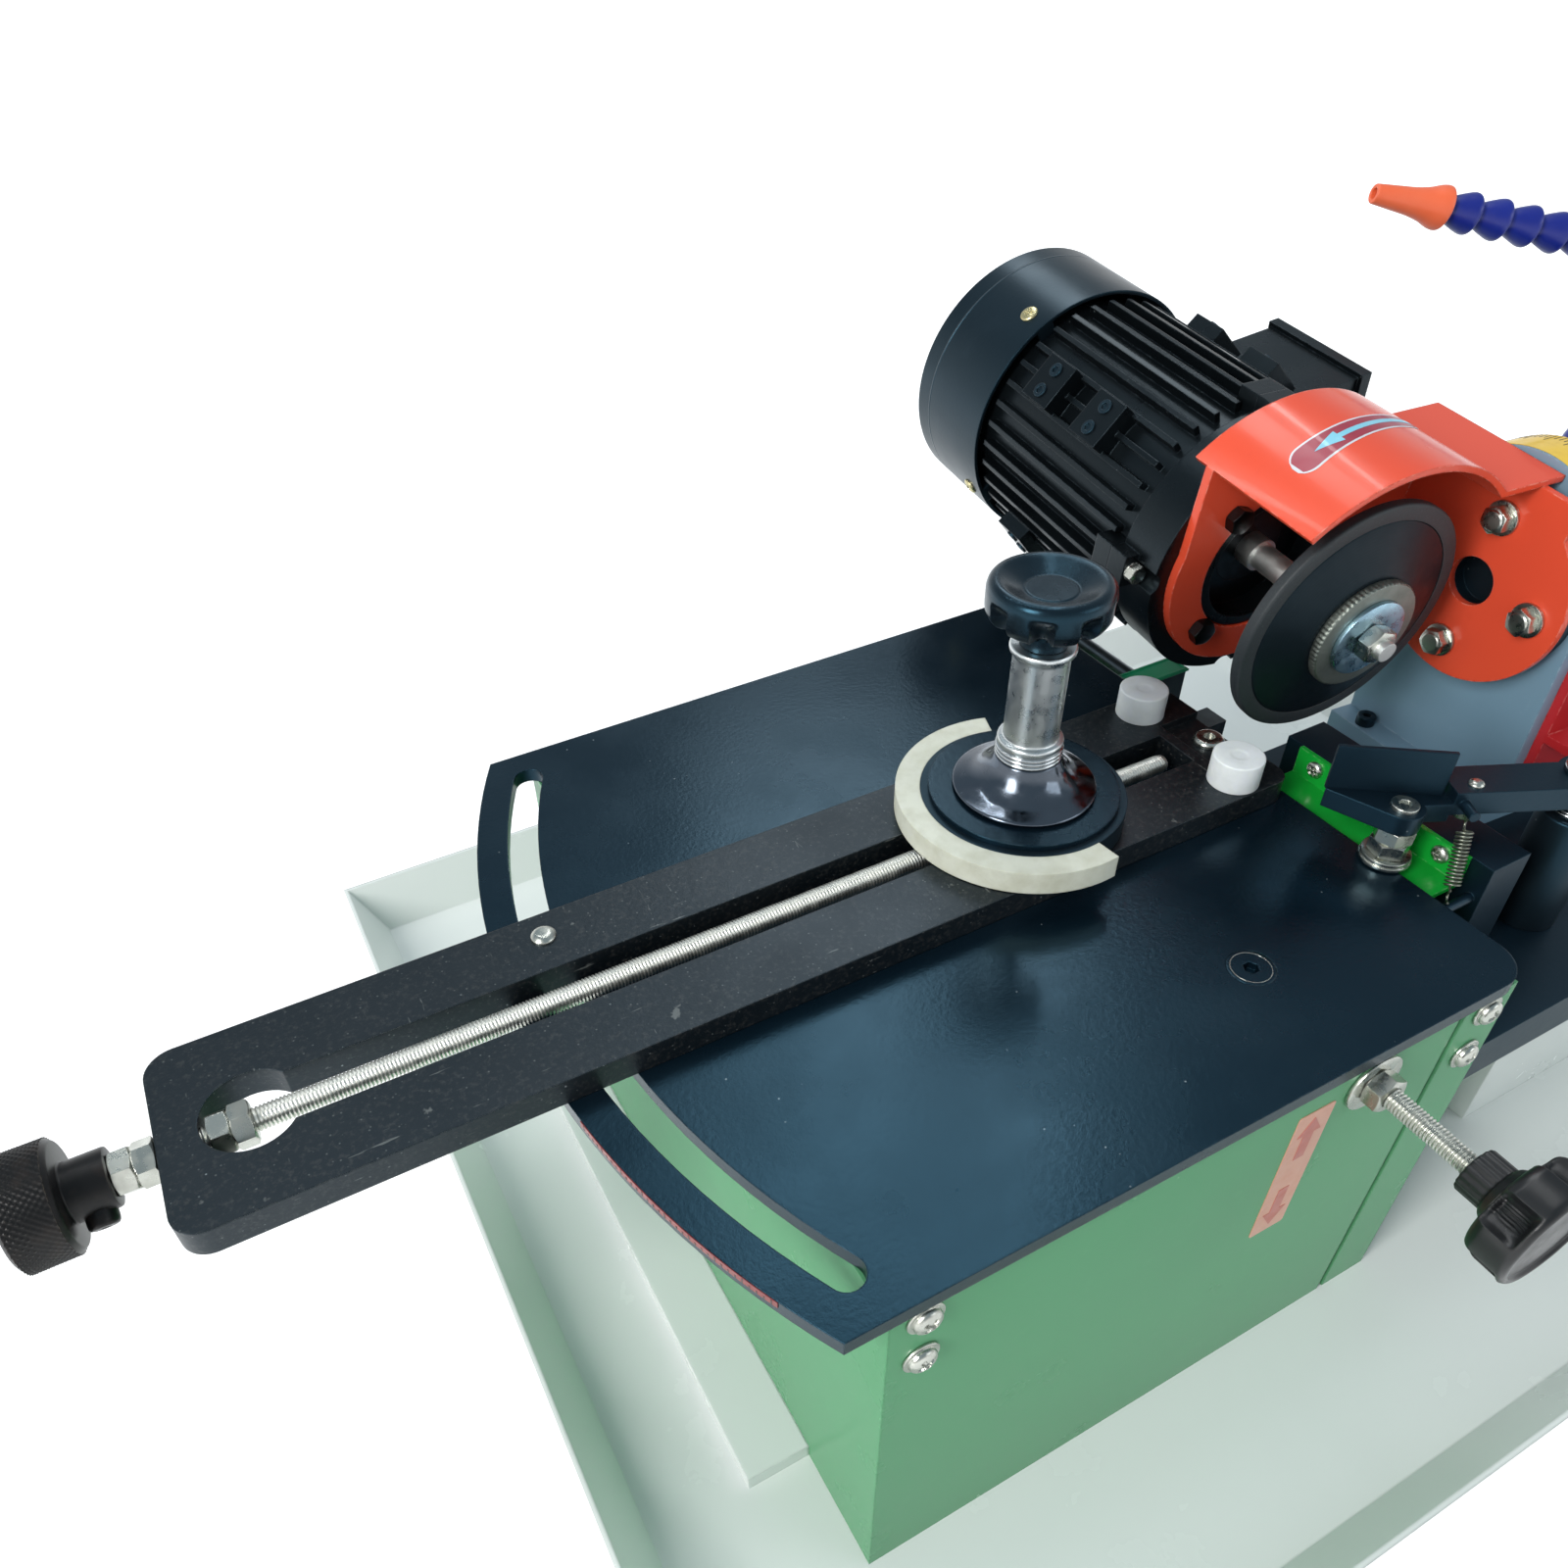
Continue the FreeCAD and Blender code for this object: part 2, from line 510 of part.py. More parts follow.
def arm():
    deep = ("arm_under", "arm_top")
    half = "arm_width / 2"
    plate = block(("arm_left", "arm_right"), (f"-{half}", half), deep)
    tools = [
        block(("arm_hole_x", "arm_slot_right"), ("-arm_slot_half", "arm_slot_half"), deep),
        rod("z", "arm_hole_radius", deep, ("arm_hole_x", 0)),
        rod("x", "rod_radius + running_gap", ("arm_left", "arm_hole_x"), (0, "rod_z")),
        rod("z", "pivot_radius + running_gap", deep),
        block(("recess_left", "arm_right"), ("-recess_half", "recess_half"), ("pivot_seat", "arm_top")),
        rod("z", "lock_pin_radius", deep, lock_place())]
    for side in (1, -1):
        tools.append(corner("arm_left", f"{side} * {half}", "arm_left_corner", -1, side, deep))
        tools.append(corner("arm_right", f"{side} * {half}", "arm_right_corner", 1, side, deep))
    node("swing_arm", cut(plate, *tools))
    posts = []
    for side in (1, -1):
        place = ("post_x", f"{side} * post_y")
        top = "arm_top + post_height"
        posts.append(join(
            rod("z", "post_radius", ("arm_top", f"{top} - post_chamfer"), place),
            taper("z", "post_radius", "post_radius - post_chamfer", (f"{top} - post_chamfer", top), place)))
    node("nylon_posts", group(*posts))


def lock_place():
    return "-sqrt(slot_radius ^ 2 - lock_pin_y ^ 2)", "lock_pin_y"


def arc_lock():
    """Pin through the arm and the arc slot, with a hand knob under the table."""
    place = lock_place()
    knob_top = "table_under - lock_knob_gap"
    knob_low = f"{knob_top} - lock_knob_height"
    pin = join(
        rod("z", "lock_pin_radius", (f"{knob_low} + lock_pin_end", "arm_top"), place),
        taper("z", "lock_head_radius", "lock_head_top",
              ("arm_top", "arm_top + lock_head_height"), place))
    node("lock_pin", pin)
    x, y = place
    flutes = [
        rod("z", "lock_flute", (knob_low, knob_top), (f"{x} + {u}", f"{y} + {v}"))
        for _, (u, v) in around(int(size("lock_flute_count")), "lock_flute_offset")]
    bore = rod("z", "lock_pin_radius + running_gap", (f"{knob_low} + lock_bore_end", knob_top), place)
    node("lock_knob", cut(rod("z", "lock_knob_radius", (knob_low, knob_top), place), bore, *flutes))


def lead_screw():
    place = (0, "rod_z")
    grip_left = "grip_right - grip_length"
    rod_left = "grip_right - grip_length / 2"
    node("lead_screw", rod("x", "rod_radius", (rod_left, "rod_right"), place))
    starts = [
        "nut_inner", "nut_inner + nut_thick",
        "arm_left - nut_gap - nut_thick", "arm_left - nut_gap - 2 * nut_thick"]
    nuts = []
    for start in starts:
        span = (start, f"{start} + nut_thick")
        nuts.append(cut(hexagon("x", "nut_flats", span, place), rod("x", "rod_radius", span, place)))
    node("screw_nuts", group(*nuts))
    knob = join(
        rod("x", "hub_radius", ("grip_right", "hub_right"), place),
        rod("x", "grip_radius", (grip_left, "grip_right"), place))
    node("feed_knob", cut(knob, rod("x", "rod_radius", (rod_left, "hub_right"), place)))


# Blade carriage and clamp


def carriage():
    place = ("clamp_x", 0)
    seat = rod("z", "seat_radius", ("seat_under", "seat_top"), place)
    tongue = block(
        ("clamp_x - tongue_half_length", "clamp_x + tongue_half_length"),
        ("slide_gap - arm_slot_half", "arm_slot_half - slide_gap"),
        ("arm_under + slide_gap", "seat_under"))
    stud_hole = rod("z", "stud_radius", ("seat_under", "seat_top"), place)
    thread = rod("x", "rod_radius + running_gap",
                 ("clamp_x - tongue_half_length", "clamp_x + tongue_half_length"), (0, "rod_z"))
    node("carriage", cut(join(seat, tongue), stud_hole, thread))
    rim = cut(
        sector("z", "crescent_radius", ("seat_under", "seat_top"), size("crescent_start_angle"),
               "crescent_sweep_angle", place),
        rod("z", "seat_radius", ("seat_under", "seat_top"), place))
    node("blade_crescent", rim)
    node("clamp_disc", ring("z", "disc_radius", "stud_radius", ("seat_top", "disc_top"), place))
    node("clamp_stud", rod("z", "stud_radius", ("seat_under", "neck_top + stud_reach"), place))


def clamp():
    place = ("clamp_x", 0)
    bore = "stud_radius + running_gap"
    cone_span = ("cone_under", "cone_top")
    cone = join(
        rod("z", "cone_radius", ("cone_under", "cone_under + cone_foot"), place),
        taper("z", "cone_radius", "cone_neck", ("cone_under + cone_foot", "cone_top"), place))
    node("clamp_cone", cut(cone, rod("z", bore, cone_span, place)))
    rings = []
    for index in range(int(size("ring_count"))):
        low = f"cone_top + {index} * ring_thick"
        middle = f"{low} + ring_groove"
        form = join(
            rod("z", "cone_neck - ring_groove", (low, middle), place),
            rod("z", "cone_neck", (middle, f"{low} + ring_thick"), place))
        rings.append(cut(form, rod("z", bore, (low, f"{low} + ring_thick"), place)))
    node("clamp_rings", group(*rings))
    tube = join(
        rod("z", "tube_flange", ("rings_top", "rings_top + tube_flange_thick"), place),
        rod("z", "tube_radius", ("rings_top", "tube_top"), place),
        rod("z", "tube_top_flange", ("tube_top - tube_flange_thick", "tube_top"), place))
    node("clamp_tube", cut(tube, rod("z", bore, ("rings_top", "tube_top"), place)))
    side = ("neck_top + lobe_chamfer", "knob_top - lobe_chamfer")
    knob_body = join(
        rod("z", "neck_radius", ("tube_top", "neck_top"), place),
        taper("z", "lobe_foot", "lobe_radius", ("neck_top", side[0]), place),
        rod("z", "lobe_radius", side, place),
        taper("z", "lobe_radius", "lobe_crown", (side[1], "knob_top"), place))
    flutes = [
        rod("z", "lobe_cut", ("neck_top", side[1]), (f"clamp_x + {u}", v))
        for _, (u, v) in around(int(size("lobe_count")), "lobe_offset", 30)]
    dish = taper("z", "dish_floor", "dish_radius", ("knob_top - dish_depth", "knob_top"), place)
    hole = rod("z", bore, ("tube_top", "neck_top + stud_reach + stud_end_gap"), place)
    node("clamp_knob", cut(knob_body, dish, hole, *flutes))


# Right of the table


def angle_screw_places():
    z = "angle_top + angle_screw_rise"
    return [("angle_near + angle_screw_inset", z), ("angle_far - angle_screw_inset", z)]


def base():
    long = ("angle_near", "angle_far")
    back = "angle_wall + angle_sheet"
    strip = join(
        block(("angle_left", back), long, ("angle_top - angle_sheet", "angle_top")),
        block(("angle_wall", back), long, ("angle_top - angle_sheet", "angle_top + angle_rise")))
    holes = [
        rod("x", "panel_screw_radius", ("angle_wall", f"{back} + angle_screw_grip"), place)
        for place in angle_screw_places()]
    node("angle_strip", cut(strip, *holes))
    wall = block(
        (back, f"{back} + angle_block_thick"),
        ("spring_foot_y - 2 * spring_peg", "angle_far + angle_block_past"),
        ("base_top", "angle_top + angle_rise"))
    peg = rod("x", "spring_peg", ("spring_foot_x - spring_peg_end", back),
              ("spring_foot_y", "table_top - spring_foot_drop - spring_peg - spring_wire"))
    node("angle_block", cut(join(wall, peg), *holes))
    deep = ("base_under", "base_top")
    plate = block(("stand_right", "base_right"), ("stand_near", "base_far"), deep)
    shelf = block(("shelf_left", "base_right"), ("base_far", "shelf_far"), deep)
    node("base_plate", join(plate, shelf))
    sides = ("pedestal_near", "pedestal_far")
    inside = ("pedestal_near + pedestal_wall", "pedestal_far - pedestal_wall")
    tall = ("floor_thick", "base_under")
    node("pedestal", cut(
        block(("pedestal_left", "pedestal_right"), sides, tall),
        block(("pedestal_left + pedestal_wall", "pedestal_right - pedestal_wall"), inside, tall)))


def guide_bar():
    """Round bar in two lugs on the stand's side, and the block that slides along it."""
    place = ("bar_x", "bar_z")
    solids = [rod("y", "bar_radius", ("bar_near", "bar_far"), place)]
    half = "bar_lug_width / 2"
    for start in ("bar_near", "bar_far - bar_lug_width"):
        lug = block(
            ("stand_right", f"bar_x + {half}"), (start, f"{start} + bar_lug_width"),
            ("bar_z - bar_radius - bar_lug_cap", "bar_z + bar_radius + bar_lug_cap"))
        solids.append(cut(lug, rod("y", "bar_radius", (start, f"{start} + bar_lug_width"), place)))
    node("guide_bar", group(*solids))
    long = ("bar_x - bar_block_length / 2", "bar_x + bar_block_length / 2")
    wide = ("bar_block_y - bar_block_width / 2", "bar_block_y + bar_block_width / 2")
    slider = block(long, wide, ("bar_z - bar_block_fall", "bar_z + bar_block_rise"))
    node("bar_block", cut(slider, rod("y", "bar_radius + running_gap", wide, place)))


# Grinding head


def wheel():
    """Dish wheel on the spindle nose: its hub stands out to the front, its rim is flat behind."""
    front, face = "-rim_front", "-rim_front - hub_face"
    rim_edge = "wheel_radius - rim_width"
    body = join(
        rod("y", "wheel_radius", (front, "rim_back")),
        taper("y", "wheel_hub", rim_edge, (face, front)))
    hollow = taper("y", "wheel_hub", rim_edge, (f"{face} + wheel_web", "rim_back"))
    node("grinding_wheel", cut(body, hollow, rod("y", "spindle_radius", (face, "rim_back"))))
    ring_face = f"{face} - hub_ring_thick"
    web = f"{face} + wheel_web"
    node("wheel_flanges", group(
        ring("y", "hub_ring_radius", "spindle_radius", (ring_face, face)),
        ring("y", "inner_flange_radius", "spindle_radius", (web, f"{web} + inner_flange_thick"))))
    washer_face = f"{ring_face} - washer_thick"
    nut_face = f"{washer_face} - spindle_nut_thick"
    nut = cut(
        hexagon("y", "spindle_nut_flats", (nut_face, washer_face)),
        rod("y", "spindle_tip", (nut_face, washer_face)))
    node("wheel_nut", group(nut, ring("y", "washer_radius", "spindle_tip", (washer_face, ring_face))))
    rotor_start = "bell_end + stator_start"
    rotor = join(
        rod("y", "spindle_tip", (f"{nut_face} - spindle_end", ring_face)),
        rod("y", "spindle_radius", (ring_face, "bell_end")),
        rod("y", "bearing_inner", ("plate_face", "frame_end + rear_shield")),
        rod("y", "rotor_radius", (rotor_start, f"{rotor_start} + stator_length")),
        rod("y", "spindle_radius", ("frame_end", "frame_end + fan_gap + fan_length")))
    node("rotor_shaft", rotor)


def motor_screw_places():
    return [place for _, place in around(4, "motor_pitch_radius", 45)]


def guard():
    deep = ("plate_back", "plate_face")
    hood_deep = ("-hood_front", "plate_face + hood_overhang")
    hood = cut(
        sector("y", "hood_radius", hood_deep, size("hood_start_angle"), "hood_sweep_angle"),
        rod("y", "hood_inner", hood_deep))
    end = "hood_inner * cos(hood_start_angle * 1 deg)"
    side = ("panel_x", "disc_face")
    solid = join(
        hood,
        block((end, "hood_flange"), hood_deep, (end, f"{end} + hood_sheet")),
        rod("y", "plate_radius", deep),
        overlap(
            rod("y", "hood_radius", deep), block(("-plate_left", "panel_x"), deep, (0, "hood_radius"))),
        block((0, "disc_face"), deep, ("-plate_low", end)),
        rod("x", "panel_radius", side),
        block(side, ("-panel_front", "plate_face"), (0, end)),
        block(side, (0, "plate_face"), ("-plate_low", 0)))
    holes = [rod("y", "flange_hole", deep), rod("x", "panel_hole", side)]
    holes += [rod("y", "motor_screw_radius", deep, place) for place in motor_screw_places()]
    holes += [rod("x", "bolt_radius", side, place) for _, place in around(4, "bolt_circle")]
    node("guard", cut(solid, *holes))
    bolts = []
    for _, place in around(4, "bolt_circle"):
        washer = ("panel_x - bolt_washer_thick", "panel_x")
        bolts.append(join(
            hexagon("x", "bolt_flats", (f"{washer[0]} - bolt_head", washer[0]), place),
            rod("x", "bolt_washer", washer, place),
            rod("x", "bolt_radius", ("panel_x", "disc_face + disc_plate_thick"), place)))
    node("guard_bolts", group(*bolts))
    disc_span = ("disc_face", "disc_face + disc_plate_thick")
    threads = [rod("x", "bolt_radius", disc_span, place) for _, place in around(4, "bolt_circle")]
    trunnion = rod("x", "trunnion_radius", (disc_span[1], "bracket_back + trunnion_end"))
    dimple = rod("x", "panel_hole", ("disc_face", "disc_face + dimple_depth"))
    node("tilt_disc", cut(join(rod("x", "disc_plate_radius", disc_span), trunnion), dimple, *threads))


def bracket():
    """Round-topped upright on a foot that straddles the feed rail."""
    wide = ("-bracket_radius", "bracket_radius")
    upright = ("bracket_face", "bracket_back")
    foot = ("bracket_face - foot_front", "bracket_back + foot_back")
    low = ("foot_under", "foot_top")
    rail_half = "feed_rail_half + feed_rail_gap"
    body = cut(
        join(
            rod("x", "bracket_radius", upright, (0, "bracket_rise")),
            block(upright, wide, ("foot_under", "bracket_rise")),
            block(foot, wide, low),
            block(
                ("bracket_back", "bracket_back + rib_back"), ("-rib_half", "rib_half"),
                ("foot_top", "rib_top"))),
        rod("x", "trunnion_radius + running_gap", upright),
        block(foot, (f"-({rail_half})", rail_half),
              ("foot_under", "foot_under + feed_rail_height + feed_rail_gap")))
    node("head_bracket", body, SADDLE_FRAME)
    reach = "feed_travel / 2"
    rail = block(
        (f"bracket_face - foot_front + {reach}", f"bracket_back + foot_back + {reach}"),
        ("-feed_rail_half", "feed_rail_half"),
        ("base_top - wheel_z", "base_top - wheel_z + feed_rail_height"))
    node("feed_rail", rail, SADDLE_FRAME)
    near = "-bracket_radius"
    long = ("bracket_face + lever_inset", "bracket_face + lever_inset + lever_length")
    shelf_z = "foot_top + lever_shelf_rise"
    lever = join(
        block(long, (f"{near} - lever_sheet", near), ("foot_top", "foot_top + lever_rise")),
        block(long, (f"{near} - lever_shelf", near), (f"{shelf_z} - lever_sheet", shelf_z)))
    handle_place = ("bracket_face + lever_inset + lever_length / 2", f"{near} - lever_shelf / 2")
    handle_hole = rod("z", "handle_radius", (f"{shelf_z} - lever_sheet", shelf_z), handle_place)
    node("lever_bracket", cut(lever, handle_hole), SADDLE_FRAME)
    handle_top = f"{shelf_z} + handle_length"
    handle = join(
        rod("z", "handle_radius", (f"{shelf_z} - lever_sheet", handle_top), handle_place),
        ball("ball_radius", handle_place[0], handle_place[1], handle_top))
    node("feed_handle", handle, SADDLE_FRAME)


# Motor


def motor_housing():
    bell_span = ("plate_face", "bell_end")
    seat = ("plate_face + bell_recess", "plate_face + bell_recess + bearing_width")
    ears = ("bell_end - ear_length", "bell_end")
    bell = join(
        rod("y", "bell_radius", bell_span),
        rod("y", "lip_radius", ("plate_face - lip_length", "plate_face")),
        *[spoke(angle, "frame_bore + rib_root", "ear_radius", "ear_width / 2", ears)
          for angle, _ in around(4, 1)])
    bell_cuts = [
        rod("y", "lip_radius - lip_wall", ("plate_face - lip_length", seat[0])),
        rod("y", "bearing_outer", seat),
        rod("y", "frame_bore", (seat[1], "bell_end"))]
    bell_cuts += [
        rod("y", "motor_screw_radius", ("plate_face", "plate_back + motor_screw_reach"), place)
        for place in motor_screw_places()]
    bell_cuts += [
        rod("y", "motor_screw_head + ear_notch", ("plate_face", ears[0]), place)
        for _, place in around(4, "(frame_radius + ear_radius) / 2")]
    node("motor_bell", cut(bell, *bell_cuts))

    frame_span = ("bell_end", "frame_end")
    root = "frame_bore + rib_root"
    shield = ("frame_end", "frame_end + rear_shield")
    solid = [rod("y", "frame_radius", frame_span), rod("y", "frame_radius", shield)]
    fins = ("bell_end + fin_front", "frame_end - fin_back")
    for angle, _ in around(int(size("fin_count")), 1):
        apart = abs((angle - size("box_angle") + 180) % 360 - 180)
        if apart > size("box_clear"):
            solid.append(spoke(angle, root, "fin_radius", "fin_thick / 2", fins))
    frame_ears = ("bell_end", "bell_end + ear_length")
    for angle, _ in around(4, 1):
        solid.append(spoke(angle, root, "ear_radius", "ear_width / 2", frame_ears))
    for index in range(2):
        low = f"bell_end + lug_first + {index} * lug_pitch"
        lug = (low, f"{low} + lug_length")
        for turn in LUG_TURNS:
            solid.append(spoke(size("lug_angle") + turn, root, "lug_radius", "lug_width / 2", lug))
    box_span = ("bell_end + box_first", "bell_end + box_first + box_length")
    pad = spoke(size("box_angle"), root, "fin_radius", "box_width / 2", box_span)
    node("motor_frame", cut(
        join(*solid, pad), rod("y", "frame_bore", frame_span),
        rod("y", "bearing_outer", shield)))
    box = spoke(size("box_angle"), "fin_radius", "box_radius", "box_width / 2", box_span)
    lid = spoke(
        size("box_angle"), "box_radius", "box_radius + lid_thick", "box_width / 2 + lid_lip",
        (f"{box_span[0]} - lid_lip", f"{box_span[1]} + lid_lip"))
    gland = group(rod(
        "y", "gland_radius", (box_span[1], f"{box_span[1]} + gland_length"),
        ("(fin_radius + box_radius) / 2", 0)))
    gland.Placement = Placement(Vector(), Rotation(Vector(0, 1, 0), -size("box_angle")))
    node("terminal_box", join(box, lid, gland))

    cowl_span = ("frame_end", "cowl_end")
    cowl = join(
        rod("y", "cowl_radius", ("frame_end", "cowl_end - cowl_round")),
        taper("y", "cowl_radius", "cowl_radius - cowl_round", ("cowl_end - cowl_round", "cowl_end")))
    hollow = join(
        rod("y", "cowl_radius - cowl_sheet", ("frame_end", "cowl_end - cowl_round - cowl_sheet")),
        taper("y", "cowl_radius - cowl_sheet", "cowl_radius - cowl_round - cowl_sheet",
              ("cowl_end - cowl_round - cowl_sheet", "cowl_end - cowl_sheet")))
    vents = []
    for circle in ("vent_circle", "vent_inner_circle"):
        for _, place in around(int(size("vent_count")), circle):
            vents.append(rod("y", "vent_radius", cowl_span, place))
    carriers = [
        spoke(angle, "frame_radius", "cowl_radius - cowl_sheet", "carrier_half", shield)
        for angle, _ in around(4, 1, size("cowl_screw_angle"))]
    node("fan_cowl", join(cut(cowl, hollow, *vents), *carriers))


def motor_inside():
    start = "bell_end + stator_start"
    node("motor_stator", ring(
        "y", "frame_bore", "rotor_radius + air_gap", (start, f"{start} + stator_length")))
    front_seat = "plate_face + bell_recess"
    seats = [(front_seat, f"{front_seat} + bearing_width"), ("frame_end", "frame_end + rear_shield")]
    node("motor_bearings", group(
        *[ring("y", "bearing_outer", "bearing_inner + running_gap", seat) for seat in seats]))
    fan_start = "frame_end + fan_gap"
    span = (fan_start, f"{fan_start} + fan_length")
    blades = [
        spoke(angle, "fan_hub / 2", "fan_radius", "fan_blade_thick / 2", span)
        for angle, _ in around(int(size("fan_blades")), 1, 12)]
    node("cooling_fan", cut(join(rod("y", "fan_hub", span), *blades), rod("y", "spindle_radius", span)))
    screws = []
    for place in motor_screw_places():
        screws.append(join(
            hexagon("y", "motor_screw_flats", ("plate_back - motor_screw_height", "plate_back"), place),
            rod("y", "motor_screw_radius", ("plate_back", "plate_back + motor_screw_reach"), place)))
    for _, place in around(4, "(frame_radius + ear_radius) / 2"):
        face = "bell_end - ear_length"
        screws.append(rod("y", "motor_screw_head", (f"{face} - motor_screw_height", face), place))
    for angle, _ in around(4, 1, size("cowl_screw_angle")):
        head = group(rod("x", "cowl_screw_head", ("cowl_radius", "cowl_radius + cowl_screw_height"),
                         ("frame_end + cowl_screw_inset", 0)))
        head.Placement = Placement(Vector(), Rotation(Vector(0, 1, 0), -angle))
        screws.append(head)
    node("motor_screws", group(*screws))


# Tooth stop


def tooth_stop():
    """Pillar on the base plate with a swinging bar, its block, finger plate and nut stack."""
    pillar_top = "table_top + pillar_rise"
    collar_low = (pillar_top, f"{pillar_top} + collar_height")
    collar_high = ("stop_top + stop_gap", "stop_top + stop_gap + collar_height")
    pillar = join(
        rod("z", "pillar_radius", ("base_top", pillar_top)),
        rod("z", "pin_radius", (pillar_top, collar_high[1])))
    node("pawl_pillar", group(
        pillar,
        ring("z", "collar_radius", "pin_radius", collar_low),
        ring("z", "collar_radius", "pin_radius", collar_high)), STOP_FRAME)
    deep = ("stop_under", "stop_top")
    block_right = "-stop_bar_length"
    block_low = "stop_under - stop_block_drop"
    block_deep = (block_low, f"{block_low} + stop_block_thick")
    stack_place = ("-stack_along", "stack_across")
    block_wide = ("-stop_bar_half", "stack_across + stop_block_half")
    holder = group(block(
        (0, "stop_block_length"), ("-stop_block_half", "stop_block_half"), (0, "stop_block_thick")))
    put(holder, *stack_place, block_low, Rotation(Vector(0, 0, 1), size("stop_block_turn")))
    bar = join(
        rod("z", "stop_eye", deep),
        block((block_right, 0), ("-stop_bar_half", "stop_bar_half"), deep),
        block((stack_place[0], block_right), block_wide, block_deep),
        rod("z", "stop_block_half", block_deep, stack_place),
        holder,
        rod("y", "spring_peg", ("spring_across - spring_peg_end", "-stop_bar_half"),
            ("-spring_along", "stop_under + stop_bar_thick / 2")))
    holes = [
        rod("z", "pin_radius + running_gap", deep),
        rod("z", "stack_pin_radius", block_deep, stack_place)]
    node("pawl_arm", cut(bar, *holes), STOP_FRAME)
    plate = group(block((0, "finger_length"), (0, "finger_thick"), (0, "finger_height")))
    finger_way = Rotation(Vector(0, 0, 1), size("finger_turn"))
    put(plate, "-finger_along", "finger_across", block_deep[1], finger_way)
    node("pawl_finger", plate, STOP_FRAME)
    low = "stack_low"
    under = block_deep[0]
    nut_low = f"{under} - stack_nut"
    stack = join(
        rod("z", "stack_pin_radius", (low, block_deep[1]), stack_place),
        rod("z", "stack_washer", (f"{nut_low} - 2 * stack_washer_thick", nut_low), stack_place),
        hexagon("z", "stack_flats", (nut_low, under), stack_place),
        hexagon("z", "stack_flats", (low, f"{low} + stack_nut"), stack_place),
        rod("z", "stack_head_radius", (block_deep[1], f"{block_deep[1]} + stack_head"), stack_place))
    node("pawl_stack", stack, STOP_FRAME)


def biarc(start, start_way, end, end_way):
    """Two arcs that leave one point and reach another in the given directions."""
    chord = end - start
    both = start_way + end_way
    square = 2 * (1 - start_way.dot(end_way))
    linear = 2 * chord.dot(both)
    reach = (-linear + math.sqrt(linear ** 2 + 4 * square * chord.dot(chord))) / (2 * square)
    first, last = start + start_way * reach, end - end_way * reach
    middle = (first + last) * 0.5
    arcs = []
    for tip, begin, finish in ((first, start, middle), (last, middle, end)):
        inward, outward = (begin - tip).normalize(), (finish - tip).normalize()
        half = math.acos(max(-1, min(1, inward.dot(outward)))) / 2
        bisector = (inward + outward).normalize()
        crest = tip + bisector * (reach / math.cos(half) - reach * math.tan(half))
        arcs.append(Part.Arc(begin, crest, finish).toShape())
    return arcs


def spring():
    """Coil between a point under the stop's bar and a lower point by the angle strip."""
    turn = Rotation(Vector(0, 0, 1), size("stop_angle"))
    table_top = size("floor_thick") + size("stand_height") + size("table_thick")
    under = table_top + size("pillar_rise") + size("collar_height") + size("stop_gap")
    pillar = Vector(size("pillar_x"), size("pillar_y"), 0)
    peg_low = under + size("stop_bar_thick") / 2 - size("spring_peg") - size("spring_wire")
    hook = pillar + turn.multVec(Vector(-size("spring_along"), size("spring_across"), peg_low))
    foot = Vector(size("spring_foot_x"), size("spring_foot_y"), table_top - size("spring_foot_drop"))
    wire, mean = size("spring_wire"), size("spring_coil") / 2
    end = size("spring_end")
    turns = int(size("spring_turns"))
    coil_length = (hook - foot).Length - 2 * end
    pitch = coil_length / turns
    steps = 4 * turns
    points, ways = [], []
    for step in range(steps + 1):
        angle = math.pi / 2 * step
        across, along_way = mean * math.cos(angle), mean * math.sin(angle)
        points.append(Vector(across, along_way, end + coil_length * step / steps))
        ways.append(Vector(-along_way, across, pitch / (2 * math.pi)).normalize())
    edges = [Part.LineSegment(points[0] - ways[0] * wire, points[0]).toShape()]
    for step in range(steps):
        edges += biarc(points[step], ways[step], points[step + 1], ways[step + 1])
    edges.append(Part.LineSegment(points[-1], points[-1] + ways[-1] * wire).toShape())
    spine = Part.Wire(edges)
    profile = Part.Wire([Part.Circle(points[0] - ways[0] * wire, ways[0], wire / 2).toShape()])
    shell = Part.BRepOffsetAPI.MakePipeShell(spine)
    shell.add(profile)
    shell.build()
    shell.makeSolid()
    samples = [edge.valueAt(edge.FirstParameter) for edge in edges]
    gap = min((a - b).Length for i, a in enumerate(samples) for b in samples[i + 5:]) - wire
    print(f"spring: least gap to itself {gap:.2f} mm")
    item = doc.addObject("Part::Feature", "coil")
    item.Shape = shell.shape()
    item.Placement = Placement(foot, Rotation(Vector(0, 0, 1), hook - foot))
    item.Label = "pawl_spring"
    NODES.append(item)


# Coolant hose


def hose_route():
    """Length of the hose, the point and direction at a distance along it, and its steady axis."""
    straight, bend = size("hose_straight"), size("hose_bend")
    angle = math.radians(size("hose_bend_angle"))
    arc = bend * angle
    floor = size("floor_thick") + size("stand_height") + size("table_thick") - size("base_drop")
    start = Vector(size("hose_x"), size("hose_y"), floor + size("fitting_height"))
    up = Vector(0, 0, 1)
    side = Rotation(up, size("hose_heading")).multVec(Vector(1, 0, 0))

    def at(distance):
        if distance <= straight:
            return start + up * distance, up
        turn = min((distance - straight) / bend, angle)
        point = start + side * (bend * (1 - math.cos(turn))) + up * (straight + bend * math.sin(turn))
        way = side * math.sin(turn) + up * math.cos(turn)
        return point + way * max(0, distance - straight - arc), way
    return straight + arc + size("hose_reach"), at, side.cross(up)


